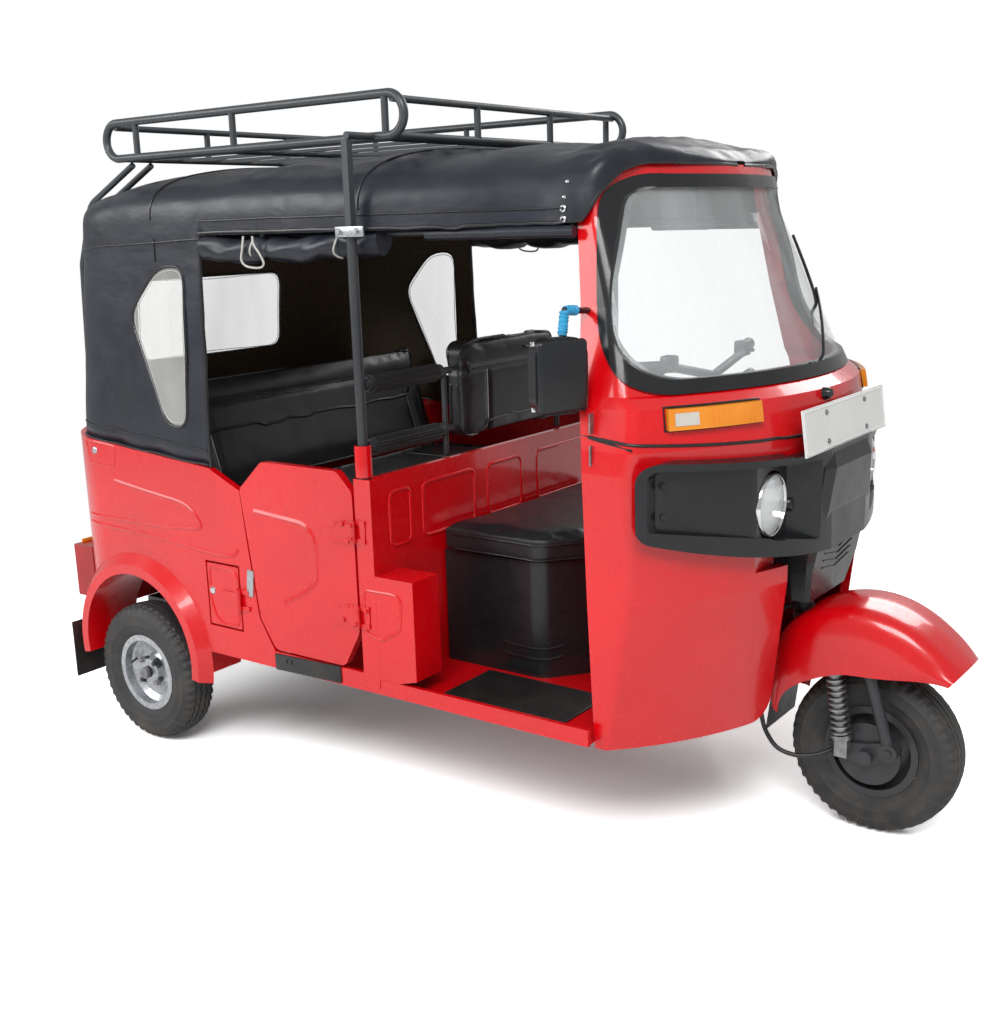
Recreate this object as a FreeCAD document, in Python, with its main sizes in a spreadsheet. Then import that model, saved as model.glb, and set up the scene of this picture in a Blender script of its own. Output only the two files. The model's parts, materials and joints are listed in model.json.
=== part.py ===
import FreeCAD, Part
import math
import os
import re
import Sketcher
from FreeCAD import Placement, Rotation, Vector

# Auto rickshaw with a canvas hood, a roof rack and half doors, in millimetres.
# +X points forwards, +Y to the left, +Z up. The origin is on the ground, under
# the middle of the vehicle's overall box.

SIZES = [
    # running gear
    ("wheelbase", 2000.0),
    ("track", 1150.0),
    ("rear_axle_x", -932.5),
    ("tyre_diameter", 415.0),
    ("tyre_width", 110.0),
    ("rim_diameter", 231.0),
    ("bead_diameter", 203.0),
    ("rim_width", 84.0),
    ("hub_diameter", 76.0),
    ("axle_diameter", 30.0),
    ("stub_length", 84.0),
    # lower body
    ("body_half_width", 620.0),
    ("fender_flare", 30.0),
    ("panel_wall", 20.0),
    ("sill_z", 330.0),
    ("floor_wall", 14.0),
    ("floor_rim", 26.0),
    ("tail_x", -1262.5),
    ("tail_corner_radius", 200.0),
    ("tail_half_width", 320.0),
    ("hem_rear_z", 918.0),
    ("hem_front_z", 861.0),
    ("arch_radius", 243.0),
    ("arch_z", 285.0),
    ("arch_forward", 15.0),
    ("flare_radius", 294.0),
    ("arch_liner_depth", 150.0),
    # doors, in side view
    ("door_rear_x", -437.0),
    ("door_front_x", -54.0),
    ("door_top_z", 896.0),
    ("door_bottom_z", 384.0),
    ("door_wall", 22.0),
    ("door_gap", 6.0),
    ("hinge_low_z", 528.0),
    ("hinge_high_z", 749.0),
    ("hinge_radius", 8.0),
    ("hinge_pin_radius", 4.0),
    ("hinge_barrel", 34.0),
    ("hinge_knuckle", 12.0),
    ("fuel_lid_x", -552.0),
    ("fuel_lid_z", 505.0),
    ("fuel_lid_wide", 124.0),
    ("fuel_lid_high", 176.0),
    ("lid_wall", 6.0),
    ("hatch_half_width", 250.0),
    ("hatch_low_z", 400.0),
    ("hatch_high_z", 770.0),
    # partition and posts
    ("partition_x", 7.5),
    ("partition_wall", 16.0),
    ("partition_top_z", 886.0),
    ("post_rear_x", -46.0),
    ("ledge_front_x", 128.5),
    ("ledge_deep", 100.0),
    ("ledge_low_z", 386.0),
    ("ledge_top_z", 640.0),
    ("pole_x", -26.0),
    ("pole_inset", 20.0),
    ("pole_radius", 12.5),
    ("pole_top_z", 1462.0),
    ("socket_radius", 17.0),
    ("socket_top_z", 962.0),
    ("grab_low_z", 955.0),
    ("grab_high_z", 1110.0),
    ("sleeve_radius", 19.0),
    # seats
    ("bench_front_x", -330.0),
    ("bench_deck_z", 612.0),
    ("bench_seat_top_z", 738.0),
    ("bench_seat_deep", 420.0),
    ("bench_inset", 65.0),
    ("bench_back_top_z", 1085.0),
    ("bench_back_lean", 114.0),
    ("bench_back_wall", 85.0),
    ("rear_deck_z", 700.0),
    ("seat_front_x", 432.0),
    ("seat_half_width", 385.0),
    ("seat_top_z", 722.0),
    ("seat_wall", 72.0),
    ("seat_box_half_width", 345.0),
    ("seat_box_front_x", 404.0),
    ("backrest_half_width", 237.0),
    ("backrest_low_z", 912.0),
    ("backrest_high_z", 1192.0),
    ("backrest_wall", 66.0),
    # cab
    ("cab_wall", 22.0),
    ("cowl_low_z", 318.0),
    ("cab_seam_z", 1030.0),
    ("cab_seam_fall", 34.0),
    ("cab_seam_gap", 3.0),
    ("cab_top_z", 1602.0),
    ("cab_half_width", 590.0),
    ("cab_rear_low_x", 624.0),
    ("cab_nose_x", 950.0),
    ("cowl_gap_half_width", 220.0),
    ("cowl_gap_top_z", 735.0),
    ("cowl_gap_round", 60.0),
    ("screen_low_z", 1114.0),
    ("screen_high_z", 1580.0),
    ("seal_wide", 30.0),
    ("glass_wall", 5.0),
    ("bulkhead_x", 660.0),
    ("lamp_x", 912.0),
    ("lamp_y", 288.0),
    ("lamp_z", 853.0),
    ("lamp_diameter", 146.0),
    ("lamp_deep", 52.0),
    ("fascia_end_x", 742.0),
    ("fascia_stand", 36.0),
    ("fascia_front_x", 978.0),
    ("fascia_top_z", 957.0),
    ("fascia_rim", 18.0),
    ("plate_long", 504.0),
    ("plate_high", 104.0),
    ("plate_lean", 13.0),
    # hood
    ("hood_front_x", -577.0),
    ("hood_low_inset", 8.0),
    ("hood_inset", 35.0),
    ("hood_wall", 8.0),
    ("gutter_z", 1480.0),
    ("crown_z", 1676.0),
    ("curtain_radius", 33.0),
    # rack
    ("rack_rear_x", -1032.5),
    ("rack_front_x", 67.5),
    ("rack_half_width", 500.0),
    ("rack_low_z", 1692.0),
    ("rack_high_z", 1788.0),
    ("rack_tube_radius", 11.0),
    # front suspension
    ("rake_deg", 25.0),
    ("column_x", 872.0),
    ("column_z", 530.0),
    ("column_radius", 21.0),
    ("fork_leg_y", 90.0),
    ("link_pivot_ahead", 61.0),
    ("link_pivot_z", 239.0),
    ("guard_half_width", 126.0),
    ("guard_wall", 5.0),
    ("mirror_x", 553.0),
    ("mirror_y", 618.0),
    ("mirror_wide", 130.0),
    ("mirror_low_z", 1082.0),
    ("mirror_high_z", 1245.0),
    ("mirror_turn_deg", 26.0),
    ("rail_inset", 225.0),
    ("chassis_low_z", 284.0),
    ("seat_gap", 0.4),
]

doc = FreeCAD.newDocument("AutoRickshaw")
sheet = doc.addObject("Spreadsheet::Sheet", "Sizes")
for row, (alias, number) in enumerate(SIZES, 1):
    sheet.set("A%d" % row, alias)
    sheet.set("B%d" % row, str(number))
    sheet.setAlias("B%d" % row, alias)
doc.recompute()
size = {alias: float(sheet.get(alias)) for alias, _ in SIZES}
parts = []

front_axle_x = size["rear_axle_x"] + size["wheelbase"]
axle_z = size["tyre_diameter"] / 2
fender_half = size["body_half_width"] + size["fender_flare"]
pole_y = size["body_half_width"] - size["pole_inset"]
hood_half = size["body_half_width"] - size["hood_inset"]
hood_low_half = size["body_half_width"] - size["hood_low_inset"]
rail_y = size["track"] / 2 - size["rail_inset"]
SIDES = {"right": -1, "left": 1}


# Shared helpers

def ref(text):
    """Writes an expression with the sheet's name before each alias."""
    return re.sub(r"[a-z][a-z_0-9]*", lambda m: "Sizes." + m.group(0) if m.group(0) in size else m.group(0), text)


def place(thing, x=0.0, y=0.0, z=0.0, axis=Vector(0, 0, 1), turn=0.0):
    thing.Placement = Placement(Vector(x, y, z), Rotation(axis, turn))
    return thing


def bind(thing, **wanted):
    for name, text in wanted.items():
        path = ".Placement.Base." + name if name in "xyz" else name
        thing.setExpression(path, ref(text))
    return thing


def solid_piece(label, shape):
    """A piece whose shape is worked out from the sheet in this script."""
    piece = doc.addObject("Part::Feature", label)
    piece.Shape = shape
    piece.Label = label
    parts.append(piece)
    return piece


def design_body(label):
    piece = doc.addObject("PartDesign::Body", label)
    piece.Label = label
    parts.append(piece)
    return piece


def keep(piece, label):
    piece.Label = label
    parts.append(piece)
    return piece


def drawn(body, plane, corners, name="Outline"):
    """A closed sketch on one of the body's own planes, each corner bound to the sheet."""
    sketch = body.newObject("Sketcher::SketchObject", body.Label + name)
    origin = [o for o in body.Origin.OriginFeatures if o.Role == plane][0]
    sketch.AttachmentSupport = [(origin, "")]
    sketch.MapMode = "FlatFace"
    texts = [(ref(u), ref(v)) for u, v in corners]
    spots = [Vector(float(sketch.evalExpression(u)), float(sketch.evalExpression(v)), 0) for u, v in texts]
    count = len(spots)
    for i in range(count):
        sketch.addGeometry(Part.LineSegment(spots[i], spots[(i + 1) % count]), False)
    for i in range(count):
        sketch.addConstraint(Sketcher.Constraint("Coincident", i, 2, (i + 1) % count, 1))
    for i in range(count):
        for kind, value, text in (("DistanceX", spots[i].x, texts[i][0]), ("DistanceY", spots[i].y, texts[i][1])):
            at = sketch.addConstraint(Sketcher.Constraint(kind, -1, 1, i, 1, value))
            sketch.setExpression("Constraints[%d]" % at, text)
    return sketch


def padded(body, sketch, length, midplane=False, back=False):
    pad = body.newObject("PartDesign::Pad", body.Label + "Pad")
    pad.Profile = sketch
    pad.setExpression("Length", ref(length))
    pad.Midplane = midplane
    pad.Reversed = back
    return pad


def rounded(body, base, spots, radius):
    """Rounds the pad's edges that run square to its sketch at the given corners."""
    doc.recompute()
    names = []
    for i, edge in enumerate(base.Shape.Edges, 1):
        mid = edge.CenterOfMass
        if any((mid - spot).Length < 3.0 for spot in spots):
            names.append("Edge%d" % i)
    fillet = body.newObject("PartDesign::Fillet", body.Label + "Round")
    fillet.Base = (base, names)
    fillet.setExpression("Radius", ref(radius))
    return fillet


def fused(shapes):
    whole = shapes[0].fuse(shapes[1:]) if len(shapes) > 1 else shapes[0]
    merged = whole.removeSplitter()
    return merged if merged.isValid() else whole


def box(x0, x1, y0, y1, z0, z1):
    return Part.makeBox(x1 - x0, y1 - y0, z1 - z0, Vector(x0, y0, z0))


def rod(a, b, radius):
    way = b - a
    return Part.makeCylinder(radius, way.Length, a, way)


def bent_tube(points, radius, bend):
    """A round bar along straight runs joined by tangent arcs."""
    edges = []
    last = points[0]
    for here, ahead in zip(points[1:-1], points[2:]):
        back = (last - here).normalize()
        forth = (ahead - here).normalize()
        half = back.getAngle(forth) / 2
        cut = bend / math.tan(half)
        start = here + back * cut
        end = here + forth * cut
        middle = here + (back + forth).normalize() * (bend / math.sin(half) - bend)
        if (start - last).Length > 1e-6:
            edges.append(Part.LineSegment(last, start).toShape())
        edges.append(Part.Arc(start, middle, end).toShape())
        last = end
    edges.append(Part.LineSegment(last, points[-1]).toShape())
    path = Part.Wire(edges)
    ring = Part.Wire(Part.makeCircle(radius, points[0], points[1] - points[0]))
    return path.makePipeShell([ring], True, False)


def prism(points, way):
    """Extrudes a closed outline of straight runs."""
    face = Part.Face(Part.makePolygon(points + [points[0]]))
    return face.extrude(way)


def both_sides(shape):
    return Part.makeCompound([shape, shape.mirror(Vector(0, 0, 0), Vector(0, 1, 0))])


def round_corners(corners, radius):
    """A closed wire through the corners, each rounded by an arc."""
    edges = []
    count = len(corners)
    ends = []
    for i in range(count):
        here = corners[i]
        back = (corners[i - 1] - here).normalize()
        forth = (corners[(i + 1) % count] - here).normalize()
        half = back.getAngle(forth) / 2
        cut = radius / math.tan(half)
        middle = here + (back + forth).normalize() * (radius / math.sin(half) - radius)
        ends.append((here + back * cut, middle, here + forth * cut))
    for i in range(count):
        start, middle, end = ends[i]
        edges.append(Part.Arc(start, middle, end).toShape())
        following = ends[(i + 1) % count][0]
        if (following - end).Length > 1e-6:
            edges.append(Part.LineSegment(end, following).toShape())
    return Part.Wire(edges)


def spring_coil(bottom, top, radius, wire, turns):
    """A coil drawn as one turned solid, with a ridge for each turn of the wire."""
    way = top - bottom
    pitch = way.Length / turns
    inner, outer = radius - wire, radius + wire
    points = [Vector(0, 0, 0), Vector(inner, 0, 0)]
    for turn in range(turns):
        at = (turn + 0.5) * pitch
        for r, along in ((inner, -wire), (outer, -wire * 0.5), (outer, wire * 0.5), (inner, wire)):
            points.append(Vector(r, 0, at + along))
    points += [Vector(inner, 0, way.Length), Vector(0, 0, way.Length)]
    coil = Part.Face(Part.makePolygon(points + points[:1])).revolve(Vector(0, 0, 0), Vector(0, 0, 1), 360)
    coil.Placement = Placement(bottom, Rotation(Vector(0, 0, 1), way))
    return coil


# Running gear

def tyre_profile(centre_y):
    """Half section of the carcass, as radius and width, closed round the bead."""
    outer = size["tyre_diameter"] / 2
    half = size["tyre_width"] / 2
    bead = size["bead_diameter"] / 2 + 1.0
    seat = size["rim_width"] / 2 - 5.4
    mid = (outer + bead) / 2 - 4.0
    shoulder = outer - 10.0
    lip = size["rim_diameter"] / 2 + 0.5
    side = [Vector(lip, centre_y + seat + 8, 0), Vector(mid + 4, centre_y + half, 0),
            Vector(shoulder, centre_y + half - 9.0, 0)]
    foot = [Vector(lip, centre_y + seat, 0), Vector(bead, centre_y + seat, 0)]
    other = [Vector(p.x, 2 * centre_y - p.y, 0) for p in side]
    other_foot = [Vector(p.x, 2 * centre_y - p.y, 0) for p in foot]
    crown = Vector(outer, centre_y, 0)
    edges = [
        Part.LineSegment(foot[1], foot[0]).toShape(),
        Part.LineSegment(foot[0], side[0]).toShape(),
        Part.Arc(*side).toShape(),
        Part.Arc(side[2], crown, other[2]).toShape(),
        Part.Arc(other[2], other[1], other[0]).toShape(),
        Part.LineSegment(other[0], other_foot[0]).toShape(),
        Part.LineSegment(other_foot[0], other_foot[1]).toShape(),
        Part.LineSegment(other_foot[1], foot[1]).toShape(),
    ]
    return Part.Face(Part.Wire(edges))


def turned(face):
    """Turns a section drawn as radius along X and width along Y about the Y axis."""
    return face.revolve(Vector(0, 0, 0), Vector(0, 1, 0), 360)


def rim_shape(outward):
    """Dished steel wheel with its lips, centre disc and hub; outward is the open side."""
    lip = size["rim_diameter"] / 2
    bead = size["bead_diameter"] / 2
    half = size["rim_width"] / 2
    wall = 3.5
    well = bead - 16.0
    barrel = [(lip, half), (lip, half - 5), (bead, half - 5), (bead, half - 24), (well, half - 36),
              (well, 36 - half), (bead, 24 - half), (bead, 5 - half), (lip, 5 - half), (lip, -half)]
    inner = [(bead - wall, -half), (bead - wall, 26 - half), (well - wall, 38 - half),
             (well - wall, half - 38), (bead - wall, half - 26), (bead - wall, half)]
    ring = [Vector(r, w, 0) for r, w in barrel + inner]
    hub = size["hub_diameter"] / 2
    disc = [Vector(r, w * outward, 0) for r, w in
            [(well - wall, 4), (hub + 14, -8), (hub, 2), (hub, 30), (12, 34), (12, -half), (hub, -half),
             (hub, -16), (hub + 12, -14), (well - wall, -2)]]
    pieces = [turned(Part.Face(Part.makePolygon(loop + [loop[0]]))) for loop in (ring, disc)]
    whole = fused(pieces)
    bore = Part.makeCylinder(size["axle_diameter"] / 2 + 0.05, size["tyre_width"] * 2,
                             Vector(0, -size["tyre_width"], 0), Vector(0, 1, 0))
    return whole.cut(bore)


def make_wheel(name, x, y, outward):
    tyre = solid_piece(name + "_tyre", turned(tyre_profile(0.0)).cut(
        Part.makeCylinder(size["bead_diameter"] / 2 + 0.3, 400, Vector(0, -200, 0), Vector(0, 1, 0))))
    rim = solid_piece(name + "_rim", rim_shape(outward))
    place(tyre, x, y, axle_z)
    place(rim, x, y, axle_z)


def make_rear_axles():
    """Half shafts from the gearbox out to the hubs, and the trailing arms that carry them."""
    inner = 150.0
    outer = size["track"] / 2 + size["hub_diameter"] / 2 + 4
    shaft = rod(Vector(size["rear_axle_x"], -inner, axle_z), Vector(size["rear_axle_x"], -outer, axle_z),
                size["axle_diameter"] / 2)
    nut = rod(Vector(size["rear_axle_x"], -outer, axle_z), Vector(size["rear_axle_x"], -outer - 10, axle_z), 17)
    solid_piece("drive_shafts", both_sides(fused([shaft, nut])))
    pivot = Vector(size["rear_axle_x"] + 340, -430, size["sill_z"] - 20)
    hub_y = size["track"] / 2 - size["rim_width"] / 2 - 12
    knuckle = Vector(size["rear_axle_x"], -hub_y + 24, axle_z)
    arm = rod(pivot, knuckle, 20)
    rail = -rail_y - 0.3
    tube = rod(Vector(pivot.x, -500, pivot.z), Vector(pivot.x, rail, pivot.z), 24)
    carrier = rod(Vector(size["rear_axle_x"], -hub_y, axle_z), Vector(size["rear_axle_x"], -hub_y + 48, axle_z), 40)
    bracket = box(pivot.x - 30, pivot.x + 30, rail - 14, rail, pivot.z - 24, size["sill_z"] - 1)
    seat = box(size["rear_axle_x"] + 14, size["rear_axle_x"] + 66, -hub_y + 20, -hub_y + 104, axle_z + 14, axle_z + 39.7)
    whole = fused([arm, tube, carrier, bracket, seat])
    gap = size["axle_diameter"] / 2 + 0.05
    bore = rod(Vector(size["rear_axle_x"], -outer, axle_z), Vector(size["rear_axle_x"], -100, axle_z), gap)
    solid_piece("trailing_arms", both_sides(whole.cut(bore)))
    foot = Vector(size["rear_axle_x"] + 40, -hub_y + 72, axle_z + 40)
    head = Vector(size["rear_axle_x"] + 40, -hub_y + 84, size["rear_deck_z"] - 6.3)
    damper = fused([rod(foot, head, 15), rod(foot, foot + Vector(0, 0, 14), 34),
                    rod(head - Vector(0, 0, 14), head, 34)])
    coil = spring_coil(foot + Vector(0, 0, 16), head - Vector(0, 0, 16), 27, 5.5, 8)
    solid_piece("rear_springs", both_sides(fused([damper, coil])))


# Lower body

def plan_volume(inset, low, high):
    """The rear body's plan, with its round tail corners, raised from low to high."""
    half = size["body_half_width"] - inset
    rear = size["tail_x"] + inset
    front = size["partition_x"]
    r = size["tail_corner_radius"] - inset
    s = math.sqrt(0.5)
    edges = [
        Part.LineSegment(Vector(front, -half, low), Vector(rear + r, -half, low)).toShape(),
        Part.Arc(Vector(rear + r, -half, low), Vector(rear + r - r * s, -half + r - r * s, low),
                 Vector(rear, -half + r, low)).toShape(),
        Part.LineSegment(Vector(rear, -half + r, low), Vector(rear, half - r, low)).toShape(),
        Part.Arc(Vector(rear, half - r, low), Vector(rear + r - r * s, half - r + r * s, low),
                 Vector(rear + r, half, low)).toShape(),
        Part.LineSegment(Vector(rear + r, half, low), Vector(front, half, low)).toShape(),
        Part.LineSegment(Vector(front, half, low), Vector(front, -half, low)).toShape(),
    ]
    return Part.Face(Part.Wire(edges)).extrude(Vector(0, 0, high - low))


def hem_z(x):
    run = size["hood_front_x"] - size["tail_x"]
    return size["hem_rear_z"] + (size["hem_front_z"] - size["hem_rear_z"]) * (x - size["tail_x"]) / run


def below_hem(gap):
    """Everything under the sloping line where the hood meets the body."""
    rear = size["tail_x"] - 100
    front = size["hood_front_x"]
    top = [Vector(rear, -900, hem_z(rear) - gap), Vector(front, -900, hem_z(front) - gap),
           Vector(size["door_rear_x"] - 30, -900, size["door_top_z"] - 84), Vector(400, -900, 700)]
    low = [Vector(400, -900, 100), Vector(rear, -900, 100)]
    return prism(top + low, Vector(0, 1800, 0))


def door_edge(gap):
    """The door's outline in side view, as corners from its peak round to its front top edge."""
    rear = size["door_rear_x"]
    front = size["door_front_x"]
    top = size["door_top_z"]
    low = size["door_bottom_z"]
    return [
        (rear + 66 + gap * 0.4, top - gap), (rear - 23 + gap, top - 81), (rear + gap, top - 250),
        (rear + 25 + gap, low + 80), (rear + 76 + gap * 0.6, low + gap), (front - 56, low + gap),
        (front - gap, low + 98), (front - gap, top - 50), (front - 50, top - gap),
    ]


def arch_centre():
    return Vector(size["rear_axle_x"] + size["arch_forward"], 0, size["arch_z"])


def make_sides():
    low, high = size["sill_z"], size["hem_rear_z"] + 60
    wall = plan_volume(0, low, high).cut(plan_volume(size["panel_wall"], low - 1, high + 1))
    wall = wall.common(below_hem(0))
    centre = arch_centre()
    arch = Part.makeCylinder(size["arch_radius"] + 0.4, 1600, Vector(centre.x, -800, centre.z), Vector(0, 1, 0))
    under = box(centre.x - size["arch_radius"] - 0.4, centre.x + size["arch_radius"] + 0.4, -800, 800, 0, centre.z)
    rear = size["door_rear_x"]
    top = size["door_top_z"]
    bottom = size["door_bottom_z"]
    edge = [(rear - 25, top - 76), (rear - 6, top - 250), (rear + 19, bottom + 80), (rear + 70, bottom - 5),
            (rear + 70, 0), (900, 0), (900, 2000), (rear - 25, 2000)]
    doorway = prism([Vector(x, -800, z) for x, z in edge], Vector(0, 1600, 0))
    wall = wall.cut([arch, under, doorway])
    half = size["tail_half_width"]
    gap = size["door_gap"]
    x, z = size["fuel_lid_x"], size["fuel_lid_z"]
    wide, high_lid = size["fuel_lid_wide"] / 2 + gap, size["fuel_lid_high"] / 2 + gap
    filler = box(x - wide, x + wide, -700, -500, z - high_lid, z + high_lid)
    back = box(x - wide - 16, x + wide + 16, 5 - size["body_half_width"], 11 - size["body_half_width"],
               z - high_lid - 16, z + high_lid + 16)
    keeper = box(size["tail_x"] - 50, 500, -900, -half, 0, 1200)
    right = wall.common(keeper).cut(filler)
    pan = box(x - wide - 16, x + wide + 16, size["lid_wall"] + 6 - size["body_half_width"],
              size["panel_wall"] - size["body_half_width"], z - high_lid - 16, z + high_lid + 16)
    right = fused([right, pan.cut(Part.makeCylinder(24, 200, Vector(x - 10, -700, z + 10), Vector(0, 1, 0)))])
    left = wall.common(keeper.mirror(Vector(0, 0, 0), Vector(0, 1, 0)))
    solid_piece("side_panels", Part.makeCompound([right, left]))
    middle = wall.common(box(size["tail_x"] - 50, size["tail_x"] + 60, -half + 0.3, half - 0.3, 0, 1200))
    hatch_hole = box(size["tail_x"] - 50, size["tail_x"] + 60, -size["hatch_half_width"] - gap,
                     size["hatch_half_width"] + gap, size["hatch_low_z"] - gap, size["hatch_high_z"] + gap)
    solid_piece("tail_panel", middle.cut(hatch_hole))


def make_fenders():
    """Flares over the rear wheels, with the liners that turn in behind them."""
    r, lip = size["arch_radius"], 7.0
    half, out = size["body_half_width"], fender_half
    inner = half - size["arch_liner_depth"]
    section = [(r, inner), (r - lip, inner), (r - lip, out), (r + 21, out), (size["flare_radius"], half + 0.3),
               (size["flare_radius"] - 9, half + 0.3), (r + 17, out - lip), (r, out - lip)]
    face = Part.Face(Part.makePolygon([Vector(a, b, 0) for a, b in section + section[:1]]))
    sweep = 180 + 2 * 10
    flare = face.revolve(Vector(0, 0, 0), Vector(0, 1, 0), -sweep)
    flare.Placement = Placement(arch_centre(), Rotation(Vector(0, 1, 0), 10))
    solid_piece("rear_fenders", both_sides(flare))


def make_floor():
    """One pressed floor, from the seat bench to the cab's nose, with rims along the step-in."""
    body = design_body("floor_pan")
    half = "body_half_width - 12"
    edge = [("bench_front_x - 2", half), ("cab_rear_low_x - 4", half), ("cab_rear_low_x - 4", "cab_half_width - 27"),
            ("cab_rear_low_x + 30", "cab_half_width - 47"), ("bulkhead_x + 60", "cab_half_width - 122"),
            ("bulkhead_x + 148", "cowl_gap_half_width + 110"), ("bulkhead_x + 148", "cowl_gap_half_width + 25"),
            ("bulkhead_x", "cowl_gap_half_width + 25")]
    sketch = drawn(body, "XY_Plane", [(x, "-(%s)" % y) for x, y in edge] + edge[::-1])
    padded(body, sketch, "floor_wall")
    bind(body, z="sill_z")


def make_sills():
    """Box sills below the doors and along the driver's step-in."""
    low, half = size["sill_z"], size["body_half_width"]
    top = size["sill_z"] + size["floor_wall"]
    door_sill = box(size["door_rear_x"] + 71, size["post_rear_x"] - 0.3, -half, -half + 11.7,
                    low, size["door_bottom_z"] - size["door_gap"])
    step = box(size["ledge_front_x"] - 119, size["cab_rear_low_x"], -half, -half + 11.7, low, top + size["floor_rim"])
    join = box(size["door_rear_x"] + 71, size["cab_rear_low_x"], -half, -half + 11.7, low, top)
    solid_piece("door_sills", both_sides(fused([door_sill, join, step])))


def make_partition():
    """Steel wall behind the driver, with the door posts and the raised ledges beside the seat."""
    body = design_body("partition")
    half = "body_half_width - 30"
    sketch = drawn(body, "YZ_Plane", [
        ("-(%s)" % half, "sill_z + floor_wall"), (half, "sill_z + floor_wall"),
        (half, "partition_top_z"), ("-(%s)" % half, "partition_top_z")])
    padded(body, sketch, "partition_wall", back=True)
    bind(body, x="partition_x")
    half, wall = size["body_half_width"], size["panel_wall"]
    low = size["sill_z"] + size["floor_wall"]
    post = box(size["post_rear_x"], size["partition_x"], -half, -half + 29.7, low, size["partition_top_z"] - 4)
    shell = box(size["partition_x"] + 0.3, size["ledge_front_x"], -half, -half + size["ledge_deep"],
                size["ledge_low_z"], size["ledge_top_z"])
    hollow = box(size["partition_x"] - 5, size["ledge_front_x"] - 4, -half + 4, -half + size["ledge_deep"] - 4,
                 size["ledge_low_z"] - 5, size["ledge_top_z"] - 4)
    foot = prism([Vector(size["partition_x"] + 0.3, -half, low + 26.5), Vector(size["ledge_front_x"] - 56, -half, low + 26.5),
                  Vector(size["ledge_front_x"], -half, size["ledge_low_z"]),
                  Vector(size["partition_x"] + 0.3, -half, size["ledge_low_z"])], Vector(0, 4, 0))
    solid_piece("door_posts", both_sides(fused([post, shell.cut(hollow), foot])))


def make_poles():
    """Hood poles in their sockets, and the grab bars between pole and backrest."""
    x, y = size["pole_x"], -pole_y
    post_top = size["partition_top_z"] - 4
    pole = rod(Vector(x, y, post_top), Vector(x, y, size["pole_top_z"]), size["pole_radius"])
    socket = rod(Vector(x, y, post_top), Vector(x, y, size["socket_top_z"]), size["socket_radius"])
    solid_piece("roof_poles", both_sides(fused([pole, socket])))
    end = -(size["backrest_half_width"] + 0.3)
    bars = []
    for z, girth in ((size["grab_low_z"], size["socket_radius"]), (size["grab_high_z"], size["pole_radius"])):
        start = y + girth + 0.3
        bars.append(rod(Vector(x - 6, start, z), Vector(x - 6, end, z), 9))
        bars.append(rod(Vector(x - 6, start + 14, z), Vector(x - 6, end - 46, z), size["sleeve_radius"]))
        bars.append(rod(Vector(x - 6, start, z), Vector(x - 6, start + 14, z), 15))
    upright = -(size["backrest_half_width"] + 30)
    bars.append(rod(Vector(x - 6, upright, size["partition_top_z"] + 0.3),
                    Vector(x - 6, upright, size["grab_high_z"]), 8))
    solid_piece("grab_bars", both_sides(fused(bars)))


# Seats

def make_bench():
    body = design_body("bench_box")
    sketch = drawn(body, "XZ_Plane", [
        ("bench_front_x", "sill_z + floor_wall"), ("bench_front_x", "bench_deck_z"),
        ("bench_front_x - bench_seat_deep - 60", "bench_deck_z"), ("bench_front_x - bench_seat_deep - 60", "rear_deck_z"),
        ("tail_x + panel_wall + 14", "rear_deck_z"), ("tail_x + panel_wall + 14", "rear_deck_z - 6"),
        ("bench_front_x - bench_seat_deep - 54", "rear_deck_z - 6"),
        ("bench_front_x - bench_seat_deep - 54", "bench_deck_z - 6"), ("bench_front_x - 8", "bench_deck_z - 6"),
        ("bench_front_x - 8", "sill_z + floor_wall")])
    pad = padded(body, sketch, "2 * (body_half_width - door_wall - door_gap)", midplane=True)
    corner = "tail_corner_radius - panel_wall + 10"
    cut = drawn(body, "XY_Plane", [
        ("tail_x", "-body_half_width"), ("tail_x + %s" % corner, "-body_half_width"),
        ("tail_x", "-(body_half_width - %s)" % corner)], name="Corner")
    pocket = body.newObject("PartDesign::Pocket", "BenchCorner")
    pocket.Profile = cut
    pocket.Type = 1
    pocket.Midplane = True
    doc.recompute()
    flip = body.newObject("PartDesign::Mirrored", "BenchCorners")
    flip.Originals = [pocket]
    flip.MirrorPlane = ([o for o in body.Origin.OriginFeatures if o.Role == "XZ_Plane"][0], [""])
    body.Tip = flip

    seat = design_body("bench_seat")
    sketch = drawn(seat, "XZ_Plane", [
        ("bench_front_x + 12", "bench_deck_z + seat_gap"), ("bench_front_x + 12", "bench_seat_top_z"),
        ("bench_front_x + 12 - bench_seat_deep", "bench_seat_top_z"),
        ("bench_front_x + 12 - bench_seat_deep", "bench_deck_z + seat_gap")])
    pad = padded(seat, sketch, "2 * (body_half_width - bench_inset)", midplane=True)
    top = size["bench_seat_top_z"]
    rounded(seat, pad, [Vector(size["bench_front_x"] + 12, 0, top)], "30")

    back = design_body("bench_back")
    foot = "bench_front_x + 12 - bench_seat_deep"
    sketch = drawn(back, "XZ_Plane", [
        (foot + " + 26", "bench_seat_top_z + seat_gap"), (foot + " + 26 - bench_back_lean", "bench_back_top_z"),
        (foot + " + 26 - bench_back_lean - bench_back_wall", "bench_back_top_z - 24"),
        (foot + " + 26 - bench_back_wall", "bench_seat_top_z + seat_gap")])
    padded(back, sketch, "2 * (body_half_width - bench_inset)", midplane=True)


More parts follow.
